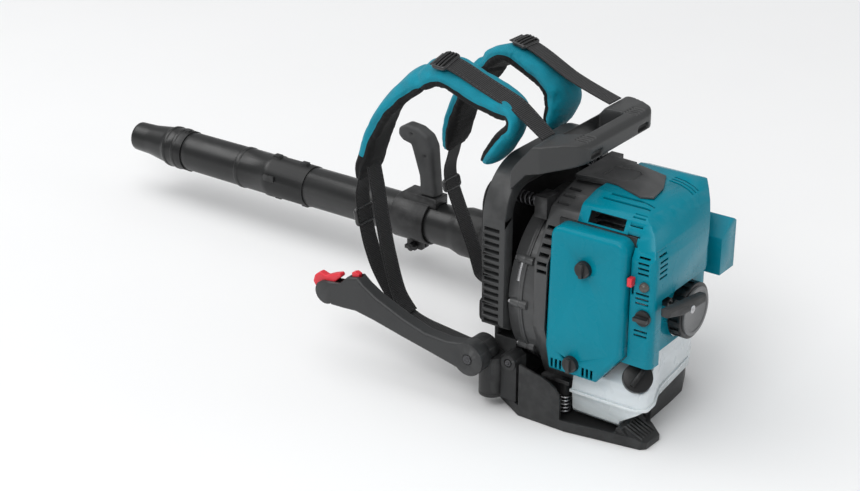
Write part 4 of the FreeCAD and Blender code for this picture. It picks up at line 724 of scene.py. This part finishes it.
def tube_along(path, closed, wide, tall, up, segments=12):
    """Vertices and faces of a rod with an oval section that follows a path."""
    verts = []
    count = len(path)
    for number, place in enumerate(path):
        near = path[(number - 1) % count if closed else max(number - 1, 0)]
        far = path[(number + 1) % count if closed else min(number + 1, count - 1)]
        ahead = (far - near).normalized()
        across = ahead.cross(up).normalized()
        for i in range(segments):
            angle = 2 * math.pi * i / segments
            verts.append(place + across * (wide * math.cos(angle)) + up * (tall * math.sin(angle)))
    return verts, tube_faces(count, segments, joined=closed)


def ladder_lock(name, x, low, high, body, tilt=0.0, replaces=None):
    """Ladder-lock buckle: a rounded loop with three bars, set along a piece of strap."""
    start, end = line_at(x, (low, high))
    ahead = (end - start).normalized()
    wide = Vector((1, 0, tilt)).normalized()
    up = wide.cross(ahead)
    if up.z < -0.5:
        up = -up
    middle = (start + end) / 2
    half_x, half_l, corner = 0.0225, (end - start).length / 2 - 0.001, 0.005
    loop = []
    for sx, sl, first in ((1, 1, 0), (-1, 1, 90), (-1, -1, 180), (1, -1, 270)):
        for i in range(7):
            angle = math.radians(first + 15 * i)
            loop.append(middle + wide * (sx * (half_x - corner) + corner * math.cos(angle))
                        + ahead * (sl * (half_l - corner) + corner * math.sin(angle)))
    verts, faces = tube_along(loop, True, 0.0024, 0.0036, up)
    for share in (-0.5, 0.0, 0.5):
        rod = [middle + wide * (half_x * (k / 6 - 1)) + ahead * (half_l * share)
               + up * (0.0030 + 0.0012 * math.sin(math.pi * k / 12)) for k in range(13)]
        more, others = tube_along(rod, False, 0.0014, 0.0019, up)
        shift = len(verts)
        verts += more
        faces += [tuple(i + shift for i in face) for face in others]
    item = add_mesh(name, verts, faces, "buckle")
    fix_normals(item)
    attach(item, body)
    if replaces:
        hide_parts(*replaces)
    return item


ladder_lock("left_lifter_buckle", -0.100, (258, 563.2), (232, 562.2), "machine", PAD_SLOPE,
            ["buckles"])
ladder_lock("right_lifter_buckle", 0.100, (236, 548.7), (210, 543.2), "machine")
ladder_lock("left_strap_buckle", -0.100, (418.5, 268), (412, 238), "machine")
ladder_lock("right_strap_buckle", 0.100, (376.5, 264), (371, 243), "machine")


def screw(name, centre, radius, body, axis, depth, material="steel"):
    """Cap screw with a six-point socket, its head standing out by depth towards minus axis."""
    verts = []
    around, points = 48, 6
    main = "XYZ".index(axis)
    others = [k for k in range(3) if k != main]
    rings = [(0.0, 1.0, 0), (depth * 0.75, 1.0, 0), (depth, 0.86, 0), (depth, 0.56, 1),
             (depth * 0.35, 0.5, 1), (depth * 0.3, 0.05, 1)]
    for lift, size, star in rings:
        for i in range(around):
            angle = 2 * math.pi * i / around
            reach = radius * size * (1 + star * 0.13 * math.cos(points * angle))
            place = list(centre)
            place[main] -= lift
            place[others[0]] += reach * math.cos(angle)
            place[others[1]] += reach * math.sin(angle)
            verts.append(place)
    item = add_mesh(name, verts, tube_faces(len(rings), around, flipped=True), material)
    fix_normals(item)
    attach(item, body)
    return item


HOUSING_AXIS_Z = 0.205


def arc_clip(name, radius, first, last, low, high, thick, body):
    """A thin steel clip on the fan housing's round wall, with a raised bead down its middle."""
    steps, cells = 24, 8
    verts, faces = [], []
    for layer in (0, 1):
        for i in range(steps + 1):
            angle = math.radians(first + (last - first) * i / steps)
            for j in range(cells + 1):
                bead = 0.0012 * math.exp(-(((j / cells - 0.5) / 0.16) ** 2)) * layer
                reach = radius + thick * layer + bead
                verts.append((reach * math.cos(angle), low + (high - low) * j / cells,
                              HOUSING_AXIS_Z + reach * math.sin(angle)))
    size = (steps + 1) * (cells + 1)
    for i in range(steps):
        for j in range(cells):
            k = i * (cells + 1) + j
            faces.append((k, k + 1, k + cells + 2, k + cells + 1))
            faces.append((size + k, size + k + cells + 1, size + k + cells + 2, size + k + 1))
    rim = [i * (cells + 1) for i in range(steps + 1)]
    rim += [steps * (cells + 1) + j for j in range(1, cells + 1)]
    rim += [i * (cells + 1) + cells for i in range(steps - 1, -1, -1)]
    rim += list(range(cells - 1, 0, -1))
    for near, far in zip(rim, rim[1:] + rim[:1]):
        faces.append((near, far, size + far, size + near))
    item = add_mesh(name, verts, faces, "steel")
    fix_normals(item)
    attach(item, body)
    return item


arc_clip("housing_clip", 0.1503, 150, 166, 0.0655, 0.0715, 0.0012, "machine")
screw("arm_pivot_socket", (-0.1935, 0.134, 0.098), 0.0078, "arm", "X", 0.0012,
      "dark_steel")
screw("bracket_socket", (-0.1541, 0.080, 0.092), 0.0056, "machine", "X", 0.0012,
      "dark_steel")
screw("handle_insert", (-0.070, -0.2045, 0.240), 0.0066, "pull", "Y", 0.0014)


# ---------------------------------------------------------------- bellows and rope

def bellows():
    """Corrugated duct between the elbow and the collar."""
    low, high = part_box("flexible_bellows")
    rear, front = low[1], high[1]
    centre = ((low[0] + high[0]) / 2, 0, (low[2] + high[2]) / 2)
    profile = [(rear + 0.0005, 0.0425), (rear + 0.0005, 0.048), (rear + 0.002, 0.049),
               (0.144, 0.049), (0.146, 0.0475)]
    start, pitch, count = 0.150, 0.0135, 10
    for wave in range(count):
        for step in range(8):
            phase = 2 * math.pi * step / 8
            radius = 0.0474 + 0.0025 * (1 - math.cos(phase)) / 2
            profile.append((start + pitch * (wave + step / 8), radius))
    profile += [(start + pitch * count, 0.0474), (front - 0.008, 0.0476), (front - 0.0065, 0.049),
                (front - 0.001, 0.049), (front, 0.048), (front, 0.043), (0.152, 0.043)]
    item = lathe("duct_bellows", profile, centre, "rubber")
    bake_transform(item)
    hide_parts("flexible_bellows")
    return item


def rope():
    """Braided starter rope from the guide to the handle."""
    low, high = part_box("starter_rope")
    x, z = (low[0] + high[0]) / 2, (low[2] + high[2]) / 2
    count, around = 60, 16
    verts = []
    rear, front = low[1], high[1]
    for row in range(count + 1):
        y = rear + (front - rear) * row / count
        for i in range(around):
            angle = 2 * math.pi * i / around
            radius = 0.0016 + 0.00012 * math.cos(4 * angle + row * 0.9)
            verts.append((x + radius * math.cos(angle), y, z + radius * math.sin(angle)))
    faces = tube_faces(count + 1, around, flipped=True)
    item = add_mesh("pull_rope", verts, faces, "webbing")
    fix_normals(item)
    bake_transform(item)
    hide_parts("starter_rope")
    return item


bellows()
rope()


# ---------------------------------------------------------------- stage, light and camera

def stage():
    """A plain pale floor."""
    reach, cells = 40.0, 24
    verts = [(reach * (2 * i / cells - 1), reach * (2 * j / cells - 1), -0.001)
             for i in range(cells + 1) for j in range(cells + 1)]
    faces = [(k, k + 1, k + cells + 2, k + cells + 1)
             for i in range(cells) for k in range(i * (cells + 1), i * (cells + 1) + cells)]
    floor = add_mesh("floor", verts, faces, "black", smooth=False)
    s = Shader("floor_paper", (0.9, 0.9, 0.9), 0.9, specular=0.1)
    s.set("Base Color", s.mix(s.noise(2.5, 3), (0.875, 0.877, 0.88), (0.895, 0.897, 0.9)))
    floor.data.materials.clear()
    floor.data.materials.append(s.material)
    fix_normals(floor)


def lamp(name, place, target, size, power):
    """A soft rectangular light that faces its target."""
    light = bpy.data.lights.new(name, "AREA")
    light.shape = "RECTANGLE"
    light.size, light.size_y = size
    light.energy = power
    item = bpy.data.objects.new(name, light)
    bpy.context.scene.collection.objects.link(item)
    item.location = place
    item.rotation_euler = (Vector(target) - Vector(place)).to_track_quat("-Z", "Y").to_euler()


def lights():
    """Three soft lights, a broad sun for the daylight from above, and a pale surround."""
    aim = (0, 0.2, 0.25)
    lamp("key", (-2.4, -0.4, 2.4), aim, (1.4, 1.0), 26)
    lamp("fill", (1.4, -2.8, 1.4), aim, (1.4, 1.0), 9)
    lamp("rim", (-0.6, 2.9, 2.2), aim, (2.0, 1.0), 16)
    sun = bpy.data.lights.new("skylight", "SUN")
    sun.energy = 1.62
    sun.angle = math.radians(75)
    item = bpy.data.objects.new("skylight", sun)
    bpy.context.scene.collection.objects.link(item)
    item.rotation_euler = (math.radians(-14), math.radians(-16), 0)
    world = bpy.data.worlds.new("studio")
    bpy.context.scene.world = world
    world.use_nodes = True
    back = world.node_tree.nodes["Background"]
    back.inputs["Color"].default_value = (0.95, 0.96, 0.97, 1)
    back.inputs["Strength"].default_value = 0.40


def camera():
    """The photograph's viewpoint: a long lens from the left and behind, looking down."""
    data = bpy.data.cameras.new("view")
    data.sensor_width = 36
    data.lens = 75.35
    item = bpy.data.objects.new("view", data)
    bpy.context.scene.collection.objects.link(item)
    azimuth, elevation = math.radians(-54), math.radians(24.6)
    back = Vector((math.sin(azimuth) * math.cos(elevation),
                   -math.cos(azimuth) * math.cos(elevation), math.sin(elevation)))
    item.location = (-2.3261, -1.3411, 1.4902)
    item.rotation_euler = (-back).to_track_quat("-Z", "Y").to_euler()
    data.clip_start, data.clip_end = 0.05, 50
    bpy.context.scene.camera = item


stage()
lights()
camera()
bpy.context.scene.view_settings.view_transform = "Standard"
